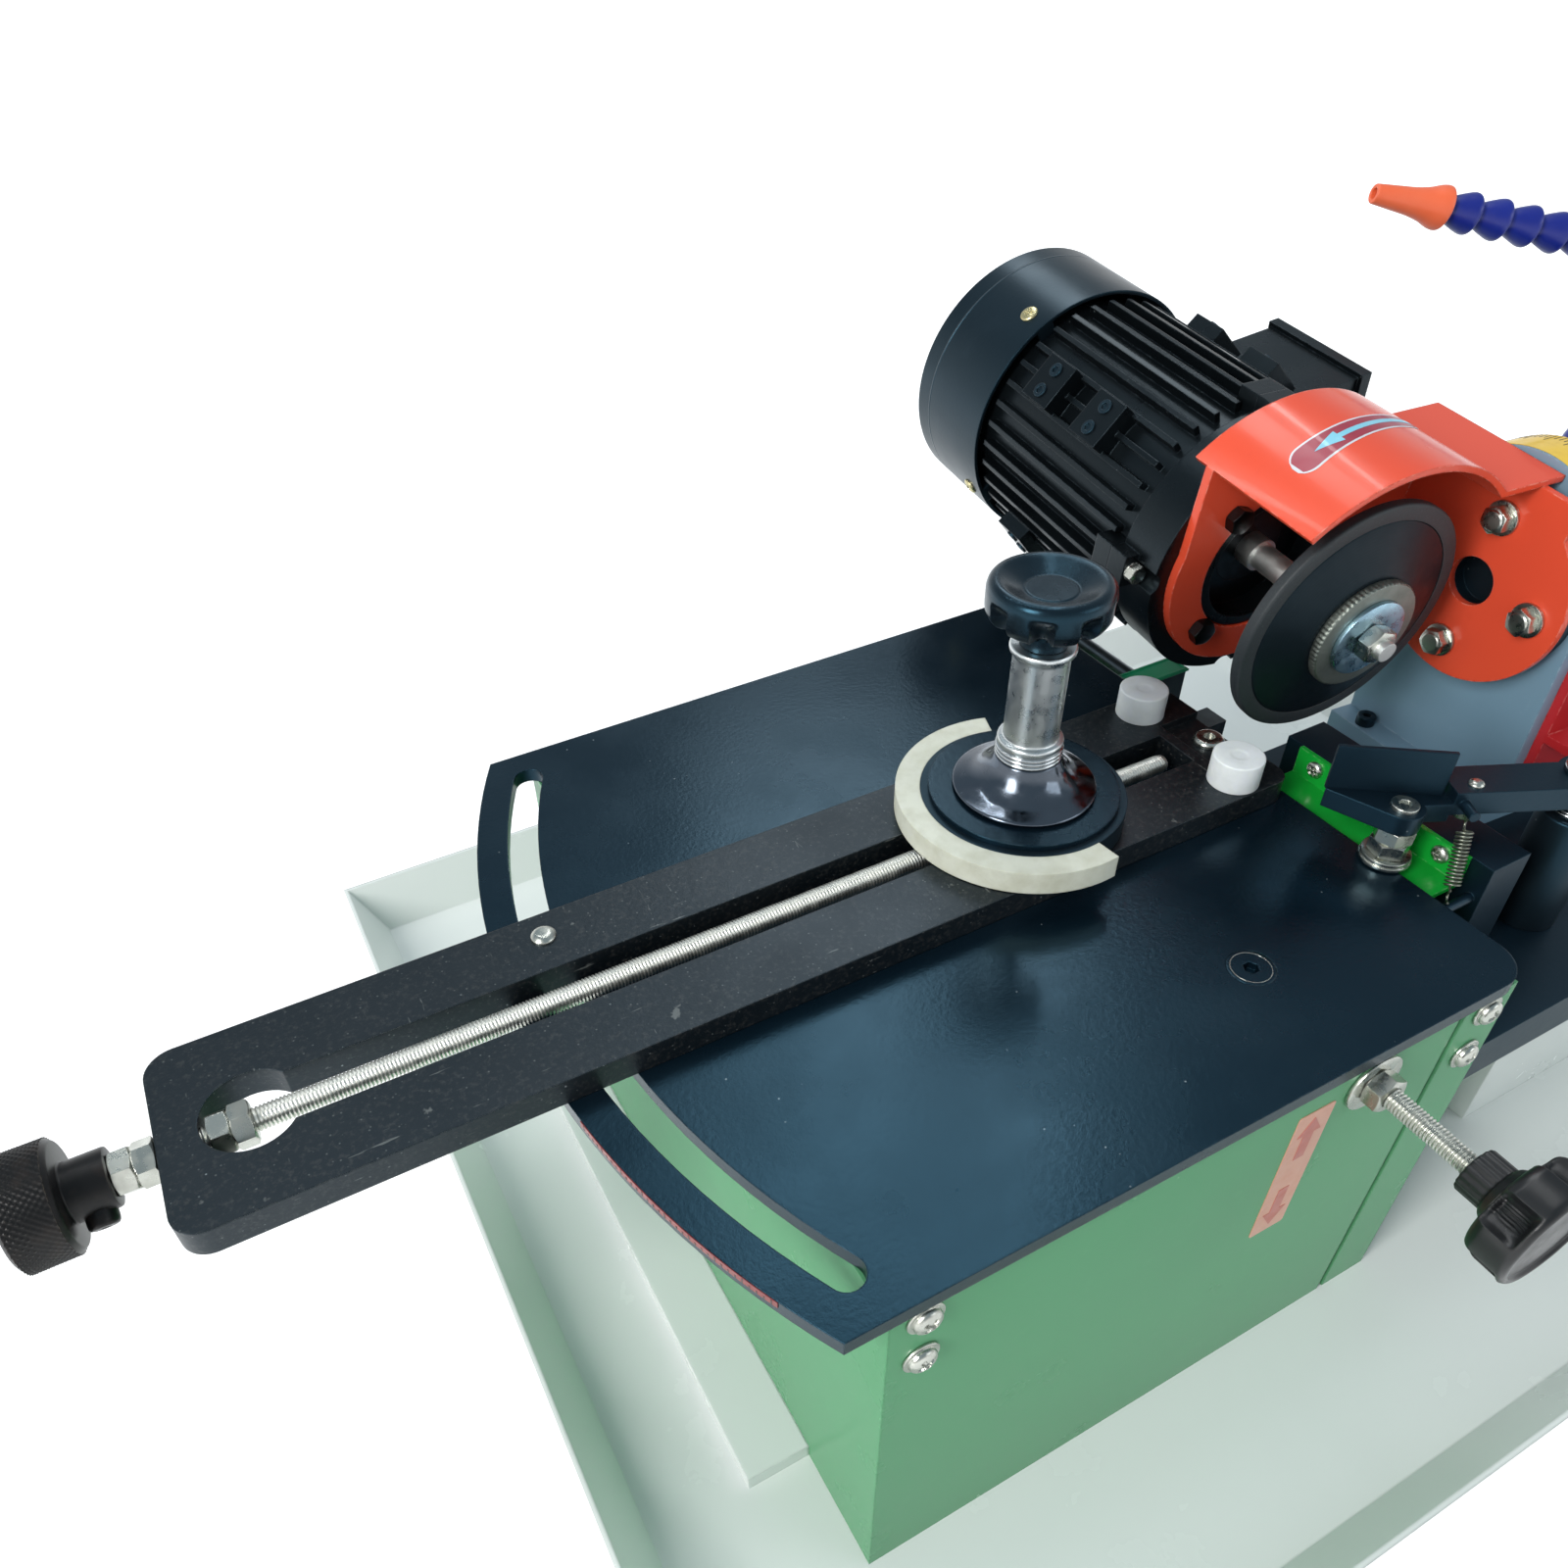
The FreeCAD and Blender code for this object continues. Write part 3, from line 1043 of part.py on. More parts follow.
def hose():
    """Ball-and-socket hose: a waist and a flared skirt for each segment, with its bore."""
    length, at, steady = hose_route()
    count = int(size("rib_count"))
    pitch = length / count
    waist, skirt = size("rib_waist"), size("rib_radius")
    waist_share, flare_share, skirt_share = SEGMENT_SHARES
    profile = ((0, waist), (waist_share, waist), (flare_share, skirt), (skirt_share, skirt))

    def circle(distance, radius):
        point, way = at(distance)
        frame = Part.Circle(point, way, radius)
        frame.XAxis = steady
        return Part.Wire([frame.toShape()])

    outer = [
        circle((index + share) * pitch, radius) for index in range(count) for share, radius in profile]
    outer.append(circle(length, waist))
    bore = [circle(pitch * index / 2, size("hose_bore")) for index in range(2 * count + 1)]
    item = doc.addObject("Part::Feature", "segments")
    item.Shape = Part.makeLoft(outer, True, True).cut(Part.makeLoft(bore, True, True))
    item.Label = "coolant_hose"
    NODES.append(item)
    point, way = at(length)
    frame = (point.x, point.y, point.z, Rotation(Vector(0, 0, 1), way))
    shoulder, waist = "nozzle_length / 10", "nozzle_length / 2"
    form = join(
        taper("z", "nozzle_root", "nozzle_shoulder", (0, shoulder)),
        taper("z", "nozzle_shoulder", "nozzle_waist", (shoulder, waist)),
        taper("z", "nozzle_waist", "nozzle_tip", (waist, "nozzle_length")))
    node("hose_nozzle", cut(form, rod("z", "nozzle_bore", (0, "nozzle_length"))), frame)
    place = ("hose_x", "hose_y")
    fitting = join(
        rod("z", "fitting_stem", ("base_top", "hose_low"), place),
        hexagon("z", "fitting_flats", ("base_top", "base_top + fitting_nut"), place),
        rod("z", "fitting_radius", ("hose_low - fitting_nut", "hose_low"), place))
    node("hose_fitting", cut(fitting, rod("z", "hose_bore", ("base_top + fitting_nut", "hose_low"), place)))


def head():
    first = len(NODES)
    wheel()
    guard()
    motor_housing()
    motor_inside()
    for item in NODES[first:]:
        put(item, *HEAD_FRAME)
    bracket()


def check():
    doc.recompute()
    for item in doc.Objects:
        if "Invalid" in item.State or "Error" in item.State:
            raise RuntimeError(f"{item.Label} failed: {item.State}")
    for item in NODES:
        if item.Shape.isNull() or not item.Shape.isValid() or not item.Shape.Solids:
            raise RuntimeError(f"{item.Label} has no valid shape")


def write():
    os.makedirs("parts", exist_ok=True)
    for item in NODES:
        item.Shape.exportStep(f"parts/{item.Label}.step")
        print(f"{item.Label}: {len(item.Shape.Solids)} solid(s), {item.Shape.Volume:.0f} mm3")


tray()
stand()
panel_screws()
star_screw()
table()
arm()
arc_lock()
lead_screw()
carriage()
clamp()
base()
guide_bar()
head()
tooth_stop()
spring()
hose()
check()
write()
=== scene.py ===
import math

import bmesh
import bpy
from mathutils import Matrix, Vector


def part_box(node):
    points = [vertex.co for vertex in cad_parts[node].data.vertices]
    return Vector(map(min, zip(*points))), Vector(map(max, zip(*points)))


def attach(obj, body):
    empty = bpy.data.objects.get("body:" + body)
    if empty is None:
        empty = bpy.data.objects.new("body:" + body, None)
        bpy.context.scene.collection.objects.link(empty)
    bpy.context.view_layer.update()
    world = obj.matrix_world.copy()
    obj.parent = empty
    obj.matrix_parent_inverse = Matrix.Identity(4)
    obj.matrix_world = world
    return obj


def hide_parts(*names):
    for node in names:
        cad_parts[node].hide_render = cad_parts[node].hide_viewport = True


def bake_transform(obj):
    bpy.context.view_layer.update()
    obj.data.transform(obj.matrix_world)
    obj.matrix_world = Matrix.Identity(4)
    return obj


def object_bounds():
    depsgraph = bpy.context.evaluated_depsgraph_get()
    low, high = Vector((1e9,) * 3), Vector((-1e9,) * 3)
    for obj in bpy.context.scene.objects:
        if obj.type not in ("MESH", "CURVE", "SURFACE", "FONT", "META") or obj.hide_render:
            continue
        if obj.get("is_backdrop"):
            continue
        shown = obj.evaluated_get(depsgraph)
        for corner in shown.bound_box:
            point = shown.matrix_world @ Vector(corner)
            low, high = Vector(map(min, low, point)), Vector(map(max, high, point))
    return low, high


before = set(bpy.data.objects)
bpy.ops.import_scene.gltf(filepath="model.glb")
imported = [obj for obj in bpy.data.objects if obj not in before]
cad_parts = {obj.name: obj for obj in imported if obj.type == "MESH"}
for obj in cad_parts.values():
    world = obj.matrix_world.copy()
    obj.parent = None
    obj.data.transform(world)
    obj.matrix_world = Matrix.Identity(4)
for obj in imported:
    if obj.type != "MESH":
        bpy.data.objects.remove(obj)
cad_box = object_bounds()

# Looks of a bench machine that sharpens circular saw blades.
# Shapes are written in millimetres in the model's own frame, and become metres in piece().

MM = 0.001
TAU = 2 * math.pi


# Places

def shift(x, y, z):
    return Matrix.Translation((x, y, z))


def up(z):
    return shift(0, 0, z)


def turn(degrees, axis="Z"):
    return Matrix.Rotation(math.radians(degrees), 4, axis)


ALONG_X = turn(90, "Y")
AGAINST_X = turn(-90, "Y")
ALONG_Y = turn(-90, "X")
AGAINST_Y = turn(90, "X")

SADDLE = shift(40, -15, 251) @ turn(-4)
HEAD = SADDLE @ turn(6, "X")
PILLAR = shift(80, -106, 0)
STOP = PILLAR @ turn(-26)
CLAMP = shift(-97.5, 0, 0)
ARM_TOP = 200.8
BASE_TOP = 150
ROD_HEIGHT = 195.5
STAND_FRONT = -145

# M8 thread and nut
ROD_RADIUS, ROD_PITCH = 4, 1.25
NUT_FLATS, NUT_THICK = 13, 6.5


# Shapes: a list of points and a list of faces

def moved(shape, place):
    points, faces = shape
    return [place @ Vector(p) for p in points], faces


def joined(*shapes):
    points, faces = [], []
    for more_points, more_faces in shapes:
        start = len(points)
        points += more_points
        faces += [tuple(start + i for i in face) for face in more_faces]
    return points, faces


def rounded(corners, steps=4, loop=False):
    """Outline of (radius, height, fillet) corners with each fillet drawn as a curve"""
    outline = []
    count = len(corners)
    for i, (radius, height, fillet) in enumerate(corners):
        end = not loop and i in (0, count - 1)
        if end or not fillet:
            outline.append((radius, height))
            continue
        corner = Vector((radius, height))
        before = Vector(corners[i - 1][:2]) - corner
        after = Vector(corners[(i + 1) % count][:2]) - corner
        start = corner + before.normalized() * min(fillet, before.length * 0.49)
        finish = corner + after.normalized() * min(fillet, after.length * 0.49)
        for k in range(steps + 1):
            t = k / steps
            outline.append(tuple(start * (1 - t) ** 2 + corner * 2 * t * (1 - t) + finish * t * t))
    return outline


def lathe(outline, steps=64, wave=None, loop=False):
    """Outline of (radius, height) turned about Z; a radius of 0 closes an end, loop makes a ring"""
    points, faces, rows = [], [], []
    for radius, height in outline:
        row = []
        for i in range(1 if radius == 0 else steps):
            angle = TAU * i / steps
            r, z = wave(angle, radius, height) if wave else (radius, height)
            row.append(len(points))
            points.append(Vector((r * math.cos(angle), r * math.sin(angle), z)))
        rows.append(row)
    pairs = list(zip(rows, rows[1:]))
    if loop:
        pairs.append((rows[-1], rows[0]))
    for low, high in pairs:
        for i in range(steps):
            j = (i + 1) % steps
            face = (low[i % len(low)], low[j % len(low)], high[j % len(high)], high[i % len(high)])
            faces.append(tuple(dict.fromkeys(face)))
    return points, faces


def spun(corners, place, sides=64, steps=3, loop=False):
    """Outline with fillets, turned about Z and put in its place"""
    return moved(lathe(rounded(corners, steps, loop), sides, loop=loop), place)


def hexagon(angle, flats):
    """Radius of a hexagon at an angle"""
    fold = (angle + math.pi / 6) % (math.pi / 3) - math.pi / 6
    return flats / 2 / math.cos(fold)


def hex_nut(flats, thick, bore=0):
    """Hexagon on Z from 0 up, its corners chamfered; a bore makes it a nut"""
    circle = flats * 0.475

    def wave(angle, radius, height):
        if radius != flats:
            return radius, height
        corner = hexagon(angle, flats)
        chamfer = (corner - circle) * 0.5
        return corner, chamfer if height < thick / 2 else thick - chamfer

    outline = [(bore, 0), (circle, 0), (flats, 0), (flats, thick), (circle, thick), (bore, thick)]
    return lathe(outline, 48, wave, loop=bore > 0)


def washer(radius, thick, bore):
    soft = min(0.4, thick * 0.3)
    corners = [(bore, 0, soft), (radius, 0, soft), (radius, thick, soft), (bore, thick, soft)]
    return lathe(rounded(corners, 2, loop=True), 48, loop=True)


def cross_screw(radius, height):
    """Pan head with a cross recess, on Z from 0 up"""
    arm, reach, depth = radius * 0.15, radius * 0.58, height * 0.55

    def wave(angle, r, z):
        x, y = abs(r * math.cos(angle)), abs(r * math.sin(angle))
        inside = r < reach and min(x, y) < arm
        return r, z - depth * (1 - 0.5 * r / reach) if inside else z

    outline = [(radius, 0), (radius, height * 0.3)]
    for share in (0.94, 0.85, 0.72, 0.6, 0.57, 0.45, 0.33, 0.22, 0.14, 0.07):
        outline.append((radius * share, height * (0.3 + 0.7 * math.sqrt(1 - share * share))))
    return lathe(outline + [(0, height * 0.45)], 64, wave)


def socket_screw(radius, height, flats, depth, soft=0.6):
    """Round head with a hexagon socket, on Z from 0 up"""
    def wave(angle, r, z):
        return (hexagon(angle, flats), z) if r == flats else (r, z)

    head = rounded([(radius, 0, 0), (radius, height, soft), (flats * 0.6, height, 0)], 3)
    return lathe(head + [(flats, height - 0.2), (flats, height - depth), (0, height - depth)], 48, wave)


def thread(radius, pitch, length):
    """Screw thread on Z from 0 up, running out over its first and last turn"""
    chamfer, steps, depth = 1.0, 20, 0.4 * pitch
    root = radius - depth
    form = [(0.0, 0), (0.14, 0), (0.46, 1), (0.68, 1)]
    rows = int((length - 2 * chamfer - pitch) / pitch * steps)
    points, faces = [], []
    for row in range(rows + 1):
        angle = TAU * row / steps
        runout = min(1, row / steps, (rows - row) / steps)
        for share, crest in form:
            r = root + depth * crest * runout
            z = chamfer + pitch * (row / steps + share)
            points.append(Vector((r * math.cos(angle), r * math.sin(angle), z)))
    width = len(form)
    for row in range(rows):
        for k in range(width):
            a, b = row * width + k, row * width + width + k
            if k + 1 < width:
                faces.append((a, b, b + 1, a + 1))
            elif row + steps + 1 <= rows:
                c = (row + steps) * width
                faces.append((a, b, c + width, c))
    core = [(0, 0), (root - chamfer * 0.7, 0), (root - 0.03, chamfer * 0.7),
            (root - 0.03, length - chamfer * 0.7), (root - chamfer * 0.7, length), (0, length)]
    return joined((points, faces), lathe(core, 32))


def swept(centres, radius, sides):
    """Round wire along a list of points, closed at both ends"""
    points, faces = [], []
    side = None
    for i, centre in enumerate(centres):
        along = (centres[min(i + 1, len(centres) - 1)] - centres[max(i - 1, 0)]).normalized()
        side = along.orthogonal() if side is None else side - along * side.dot(along)
        side.normalize()
        across = along.cross(side)
        for k in range(sides):
            angle = TAU * k / sides
            points.append(centre + (side * math.cos(angle) + across * math.sin(angle)) * radius)
    for i in range(len(centres) - 1):
        for k in range(sides):
            a, b = i * sides + k, i * sides + (k + 1) % sides
            faces.append((a, b, b + sides, a + sides))
    faces.append(tuple(reversed(range(sides))))
    faces.append(tuple(range(len(points) - sides, len(points))))
    return points, faces


def plate(outline, thick, place, bend=None):
    """Flat outline of (x, y) made thick on Z, each point then bent and placed"""
    low = [Vector((x, y, 0)) for x, y in outline]
    high = [Vector((x, y, thick)) for x, y in outline]
    points = [bend(p) if bend else p for p in low + high]
    count = len(outline)
    faces = [tuple(reversed(range(count))), tuple(range(count, 2 * count))]
    for i in range(count):
        j = (i + 1) % count
        faces.append((i, j, j + count, i + count))
    return moved((points, faces), place)


def strip(width, length, thick, across, along, bend):
    """Thin sheet of width by length centred on 0, cut in a grid so that bend can curve it"""
    points, faces = [], []
    for layer in (0, thick):
        for j in range(along + 1):
            for i in range(across + 1):
                x, y = width * (i / across - 0.5), length * (j / along - 0.5)
                points.append(bend(Vector((x, y, layer))))
    row = across + 1
    top = row * (along + 1)
    for j in range(along):
        for i in range(across):
            a = j * row + i
            faces.append((a, a + row, a + row + 1, a + 1))
            faces.append((top + a, top + a + 1, top + a + row + 1, top + a + row))
    edge = list(range(row))
    edge += [j * row + across for j in range(1, along + 1)]
    edge += [along * row + i for i in range(across - 1, -1, -1)]
    edge += [j * row for j in range(along - 1, 0, -1)]
    for k, a in enumerate(edge):
        b = edge[(k + 1) % len(edge)]
        faces.append((a, b, b + top, a + top))
    return points, faces


def tick_marks(first, last, count, margin, long, short):
    """Angle and length of each tick on a scale, every fourth one long"""
    for k in range(count):
        yield first + margin + (last - first - 2 * margin) * k / (count - 1), short if k % 4 else long


def put(name, data):
    """New object in the scene"""
    obj = bpy.data.objects.new(name, data)
    bpy.context.scene.collection.objects.link(obj)
    return obj


def piece(name, shape, finish, body, replaces=(), sharp=32):
    """Shape as an object with its material, riding on a body, or on none when no body is given"""
    points, faces = shape
    mesh = bpy.data.meshes.new(name)
    mesh.from_pydata([tuple(p * MM) for p in points], [], faces)
    work = bmesh.new()
    work.from_mesh(mesh)
    bmesh.ops.recalc_face_normals(work, faces=work.faces)
    work.to_mesh(mesh)
    work.free()
    mesh.shade_smooth()
    mesh.set_sharp_from_angle(angle=math.radians(sharp))
    mesh.materials.append(finish)
    obj = put(name, mesh)
    if body:
        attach(obj, body)
    if replaces:
        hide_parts(*replaces)
    return obj


# Materials

def linear(red, green, blue):
    """Colour written as 0 to 255 display values"""
    def channel(value):
        share = value / 255
        return share / 12.92 if share <= 0.04045 else ((share + 0.055) / 1.055) ** 2.4
    return (channel(red), channel(green), channel(blue), 1)


def feed(socket, value):
    """Link a socket to another one, or set it to a plain value"""
    if isinstance(value, bpy.types.NodeSocket):
        socket.id_data.links.new(value, socket)
    else:
        socket.default_value = value


def add_node(tree, kind, *values, operation=None, **named):
    """Shader node with its sockets fed in their order or by name"""
    node = tree.nodes.new("ShaderNode" + kind)
    if operation:
        node.operation = operation
    for socket, value in zip(node.inputs, values):
        feed(socket, value)
    for name, value in named.items():
        feed(node.inputs[name.replace("_", " ")], value)
    return node


WHITE = (255, 255, 255)
BLUE_SHEEN = (140, 216, 255)
MIX_SOCKETS = {"FLOAT": (2, 3, 0), "RGBA": (6, 7, 2)}  # both inputs and the output of a mix node
BEVEL_SAMPLES = 4
SPECK_GREY, NICK_GREY, SCRATCH_GREY = (150, 160, 162), (132, 136, 134), (150, 154, 150)


class Finish:
    """Procedural material built up in layers; noises use the model's own coordinates"""

    def __init__(self, name, colour, rough, metal=0.0, coat=0.0, glance=WHITE, gloss=0.5):
        self.material = bpy.data.materials.new(name)
        self.material.use_nodes = True
        self.material.diffuse_color = linear(*colour)
        self.tree = self.material.node_tree
        self.shader = self.tree.nodes["Principled BSDF"]
        settings = {
            "Base Color": linear(*colour), "Roughness": rough, "Metallic": metal, "Coat Weight": coat,
            "Coat Roughness": 0.05, "Specular Tint": linear(*glance), "Specular IOR Level": gloss}
        for socket, value in settings.items():
            self.shader.inputs[socket].default_value = value
        self.place = self.add("TexCoord").outputs["Object"]

    def add(self, kind, *values, **named):
        return add_node(self.tree, kind, *values, **named)

    def current(self, name):
        """What feeds a socket of the shader now: a link or a plain value"""
        socket = self.shader.inputs[name]
        if socket.is_linked:
            return socket.links[0].from_socket
        value = socket.default_value
        return tuple(value) if hasattr(value, "__len__") else value

    def local(self, place):
        """Coordinates in the frame of a placed part"""
        back = place.inverted()
        home, twist = back.translation * MM, back.to_euler()
        return self.add("Mapping", Vector=self.place, Location=home, Rotation=twist).outputs["Vector"]

    def noise(self, size, detail, low=0.0, high=1.0, scale=None):
        """Cloudy mask with spots about size millimetres wide, 0 below low and 1 above high"""
        place = self.add("Mapping", Vector=self.place, Scale=scale).outputs["Vector"] if scale else self.place
        cloud = self.add("TexNoise", Vector=place, Scale=1000 / size, Detail=detail, Roughness=0.6)
        return self.between(cloud.outputs["Fac"], low, high)

    def spots(self, size, radius):
        """Mask of separate round specks, size millimetres apart"""
        cells = self.add("TexVoronoi", Vector=self.place, Scale=1000 / size, Randomness=1.0)
        return self.between(cells.outputs["Distance"], radius, radius * 0.6)

    def between(self, value, low, high):
        return self.add("MapRange", Value=value, From_Min=low, From_Max=high).outputs["Result"]

    def times(self, first, second):
        return self.add("Math", first, second, operation="MULTIPLY").outputs[0]

    def bevel(self, radius):
        """Normal as if the edges were rounded by radius millimetres"""
        node = self.add("Bevel", Radius=radius * MM)
        node.samples = BEVEL_SAMPLES
        return node.outputs["Normal"]

    def edges(self, width):
        """Mask of the outer edges, as far in as width millimetres"""
        flat = self.add("NewGeometry").outputs["Normal"]
        dot = self.add("VectorMath", self.bevel(width), flat, operation="DOT_PRODUCT")
        return self.between(dot.outputs["Value"], 0.985, 0.8)

    def mixed(self, name, kind, mask, value):
        """Another value on a socket of the shader where the mask is 1"""
        first, second, result = MIX_SOCKETS[kind]
        mix = self.add("Mix")
        mix.data_type = kind
        feed(mix.inputs[0], mask)
        feed(mix.inputs[first], self.current(name))
        feed(mix.inputs[second], value)
        feed(self.shader.inputs[name], mix.outputs[result])

    def tint(self, mask, colour, amount):
        """Some of another colour where the mask is 1"""
        self.mixed("Base Color", "RGBA", self.times(mask, amount), linear(*colour))

    def cloud(self, size, detail, low, high, colour, amount):
        """Soft patches of another colour"""
        self.tint(self.noise(size, detail, low, high), colour, amount)

    def rub(self, width, size, detail, low, high, colour, amount):
        """Broken lines of another colour along the edges"""
        self.tint(self.times(self.edges(width), self.noise(size, detail, low, high)), colour, amount)

    def polish(self, size, detail, low, high, rough):
        """Soft patches of another roughness"""
        self.mixed("Roughness", "FLOAT", self.noise(size, detail, low, high), rough)

    def relief(self, height, depth):
        """Bumps up to depth millimetres high"""
        bump = self.add("Bump", Height=height, Distance=depth * MM)
        if self.shader.inputs["Normal"].is_linked:
            feed(bump.inputs["Normal"], self.current("Normal"))
        feed(self.shader.inputs["Normal"], bump.outputs["Normal"])

    def grain(self, size, detail, depth):
        """Fine bumps about size millimetres wide"""
        self.relief(self.noise(size, detail), depth)

    def softened(self, radius):
        """Edges that catch the light as if rounded by radius millimetres"""
        feed(self.shader.inputs["Normal"], self.bevel(radius))


def enamel(name, colour, dirt_and_sheen, rough=0.2, soft=1.0, chip=None, peel=0.012, smear=0.15, gloss=0.4):
    """Glossy paint on sheet metal: orange peel, faint smears, dust and worn edges; where the second colour is
    paler, as on the bracket, its clouds are painted sheen
    """
    f = Finish(name, colour, rough, coat=0.4 * gloss, gloss=gloss)
    f.softened(soft)
    f.grain(4.5, 1.0, peel)
    f.cloud(120, 3.0, 0.35, 0.8, dirt_and_sheen, 2 * smear)
    f.cloud(7, 3.0, 0.62, 0.75, dirt_and_sheen, smear)
    f.polish(60, 5.0, 0.35, 0.8, rough + 0.12)
    if chip:
        worn = f.times(f.edges(0.9), f.noise(4, 4.0, 0.48, 0.62))
        f.tint(worn, chip, 0.6)
        f.mixed("Roughness", "FLOAT", worn, 0.5)
    return f.material


def black_plate(name, colour, worn, rough=0.3, soft=0.8, wear=0.4, grain=0.04, speck=0.4,
                glance=BLUE_SHEEN, scuff=0.0, gloss=0.5):
    """Blackened steel with a blue sheen: fine grain, clouds, pale specks, scuffs and rubbed edges"""
    f = Finish(name, colour, rough, glance=glance, gloss=gloss)
    f.softened(soft)
    f.grain(2.0, 2.0, grain)
    f.polish(55, 6.0, 0.35, 0.7, rough + 0.12)
    f.cloud(60, 5.0, 0.5, 0.8, worn, 0.05)
    f.tint(f.times(f.spots(7, 0.06), f.noise(30, 2.0, 0.5, 0.6)), SPECK_GREY, speck)
    if scuff:
        f.cloud(1.6, 6.0, 0.52, 0.74, worn, scuff)
        f.tint(f.spots(3.2, 0.12), NICK_GREY, scuff)
        for stretch in ((0.12, 1, 1), (1, 0.14, 1), (0.3, 0.3, 1)):
            f.tint(f.noise(2.4, 3.0, 0.71, 0.75, stretch), SCRATCH_GREY, scuff)
    f.rub(0.8, 5, 5.0, 0.48, 0.66, worn, wear)
    return f.material


def cowl_paint():
    """Satin black sheet with a pressed seam round it"""
    seam_rise, seam_fall = (0.2212, 0.2216), (0.2224, 0.2220)
    f = Finish("cowl_black", (13, 20, 25), 0.28, glance=BLUE_SHEEN, gloss=0.4)
    f.softened(1.0)
    f.grain(1.4, 2.0, 0.03)
    f.polish(50, 5.0, 0.35, 0.7, 0.38)
    f.cloud(40, 5.0, 0.5, 0.8, (62, 76, 86), 0.12)
    along = f.add("SeparateXYZ", Vector=f.local(HEAD)).outputs["Y"]
    seam = f.times(f.between(along, *seam_rise), f.between(along, *seam_fall))
    f.tint(seam, (66, 78, 86), 0.5)
    f.relief(seam, 0.3)
    return f.material


def plated(name, colour, dull, rough=0.22, soft=0.4, stain=0.4):
    """Zinc or chrome plate: bright metal with clouded and greyed patches"""
    f = Finish(name, colour, rough, metal=1.0)
    if soft:
        f.softened(soft)
        f.grain(0.9, 2.0, 0.012)
    f.cloud(12, 5.0, 0.42, 0.72, dull, stain)
    f.polish(6, 4.0, 0.4, 0.7, rough + 0.2)
    return f.material


def plastic(name, colour, worn, rough, grain=0.6, glance=WHITE):
    """Moulded plastic: fine grain, faint cloud and paler rubbed edges"""
    f = Finish(name, colour, rough, glance=glance)
    f.softened(0.6)
    f.grain(grain, 2.0, 0.02)
    f.cloud(25, 4.0, 0.45, 0.75, worn, 0.25)
    f.rub(0.8, 3, 4.0, 0.4, 0.7, worn, 0.7)
    f.polish(14, 4.0, 0.4, 0.7, rough + 0.15)
    return f.material


def turned_metal(name, colour, dull, rough, along, scratch=None):
    """Metal with fine lathe marks: noise squeezed along the axis of turning"""
    squeeze = tuple(12.0 if axis == along else 0.6 for axis in "XYZ")
    f = Finish(name, colour, rough, metal=1.0)
    f.softened(0.4)
    f.relief(f.noise(3, 3.0, scale=squeeze), 0.002)
    f.cloud(10, 5.0, 0.42, 0.75, dull, 0.5)
    f.polish(5, 4.0, 0.4, 0.7, rough + 0.12)
    if scratch:
        f.tint(f.noise(14, 6.0, 0.66, 0.7, (1.0, 1.0, 0.12)), scratch, 0.6)
    return f.material


def abrasive():
    """Bonded grinding grit: fine pale grains in a dark body"""
    f = Finish("wheel_grit", (32, 39, 43), 0.55)
    f.grain(0.5, 2.0, 0.05)
    f.cloud(0.7, 2.0, 0.55, 0.7, (58, 66, 68), 0.5)
    f.cloud(18, 4.0, 0.45, 0.8, (20, 26, 30), 0.6)
    return f.material


def dish_body():
    """Pressed black wheel body with faint turning rings about its own axis"""
    f = Finish("wheel_body", (13, 20, 25), 0.4, glance=(110, 140, 156))
    f.softened(0.5)
    rings = f.add("TexWave", Vector=f.local(HEAD), Scale=260, Distortion=0.4)
    rings.wave_type = "RINGS"
    rings.rings_direction = "Y"
    f.relief(f.between(rings.outputs["Fac"], 0.2, 1.0), 0.006)
    f.cloud(22, 4.0, 0.45, 0.8, (32, 42, 46), 0.35)
    f.polish(12, 4.0, 0.4, 0.7, 0.5)
    return f.material


def nylon(name, colour, stain):
    """Milky plastic with a little light let in and grubby mottling"""
    f = Finish(name, colour, 0.42)
    f.shader.inputs["Subsurface Weight"].default_value = 0.4
    f.shader.inputs["Subsurface Radius"].default_value = (0.004, 0.004, 0.003)
    f.softened(0.7)
    f.grain(2.5, 3.0, 0.04)
    f.cloud(10, 6.0, 0.42, 0.72, stain, 0.55)
    f.rub(1.0, 4, 4.0, 0.4, 0.7, stain, 0.5)
    f.polish(8, 3.0, 0.4, 0.7, 0.58)
    return f.material


def laminations():
    """Stator core: thin sheets stacked along Y"""
    f = Finish("core_sheets", (92, 88, 84), 0.4, metal=0.8)
    f.relief(f.noise(6, 2.0, scale=(0.3, 14, 0.3)), 0.15)
    f.cloud(9, 4.0, 0.45, 0.75, (120, 78, 46), 0.5)
    return f.material


def knurled_steel():
    """Oil-blackened knob steel, rubbed brown and bright on the raised knurl"""
    f = Finish("knurled_steel", (15, 15, 16), 0.38, glance=(190, 190, 190))
    f.grain(0.8, 2.0, 0.03)
    f.cloud(9, 4.0, 0.5, 0.72, (52, 42, 36), 0.4)
    f.rub(0.5, 3, 3.0, 0.4, 0.7, (120, 108, 94), 0.4)
    return f.material


def printed(name, colour, worn):
    """Printed film: satin, faintly mottled and scuffed"""
    f = Finish(name, colour, 0.3, coat=0.2)
    f.cloud(5, 4.0, 0.5, 0.8, worn, 0.45)
    f.polish(9, 4.0, 0.4, 0.7, 0.5)
    f.grain(1.5, 2.0, 0.01)
    return f.material


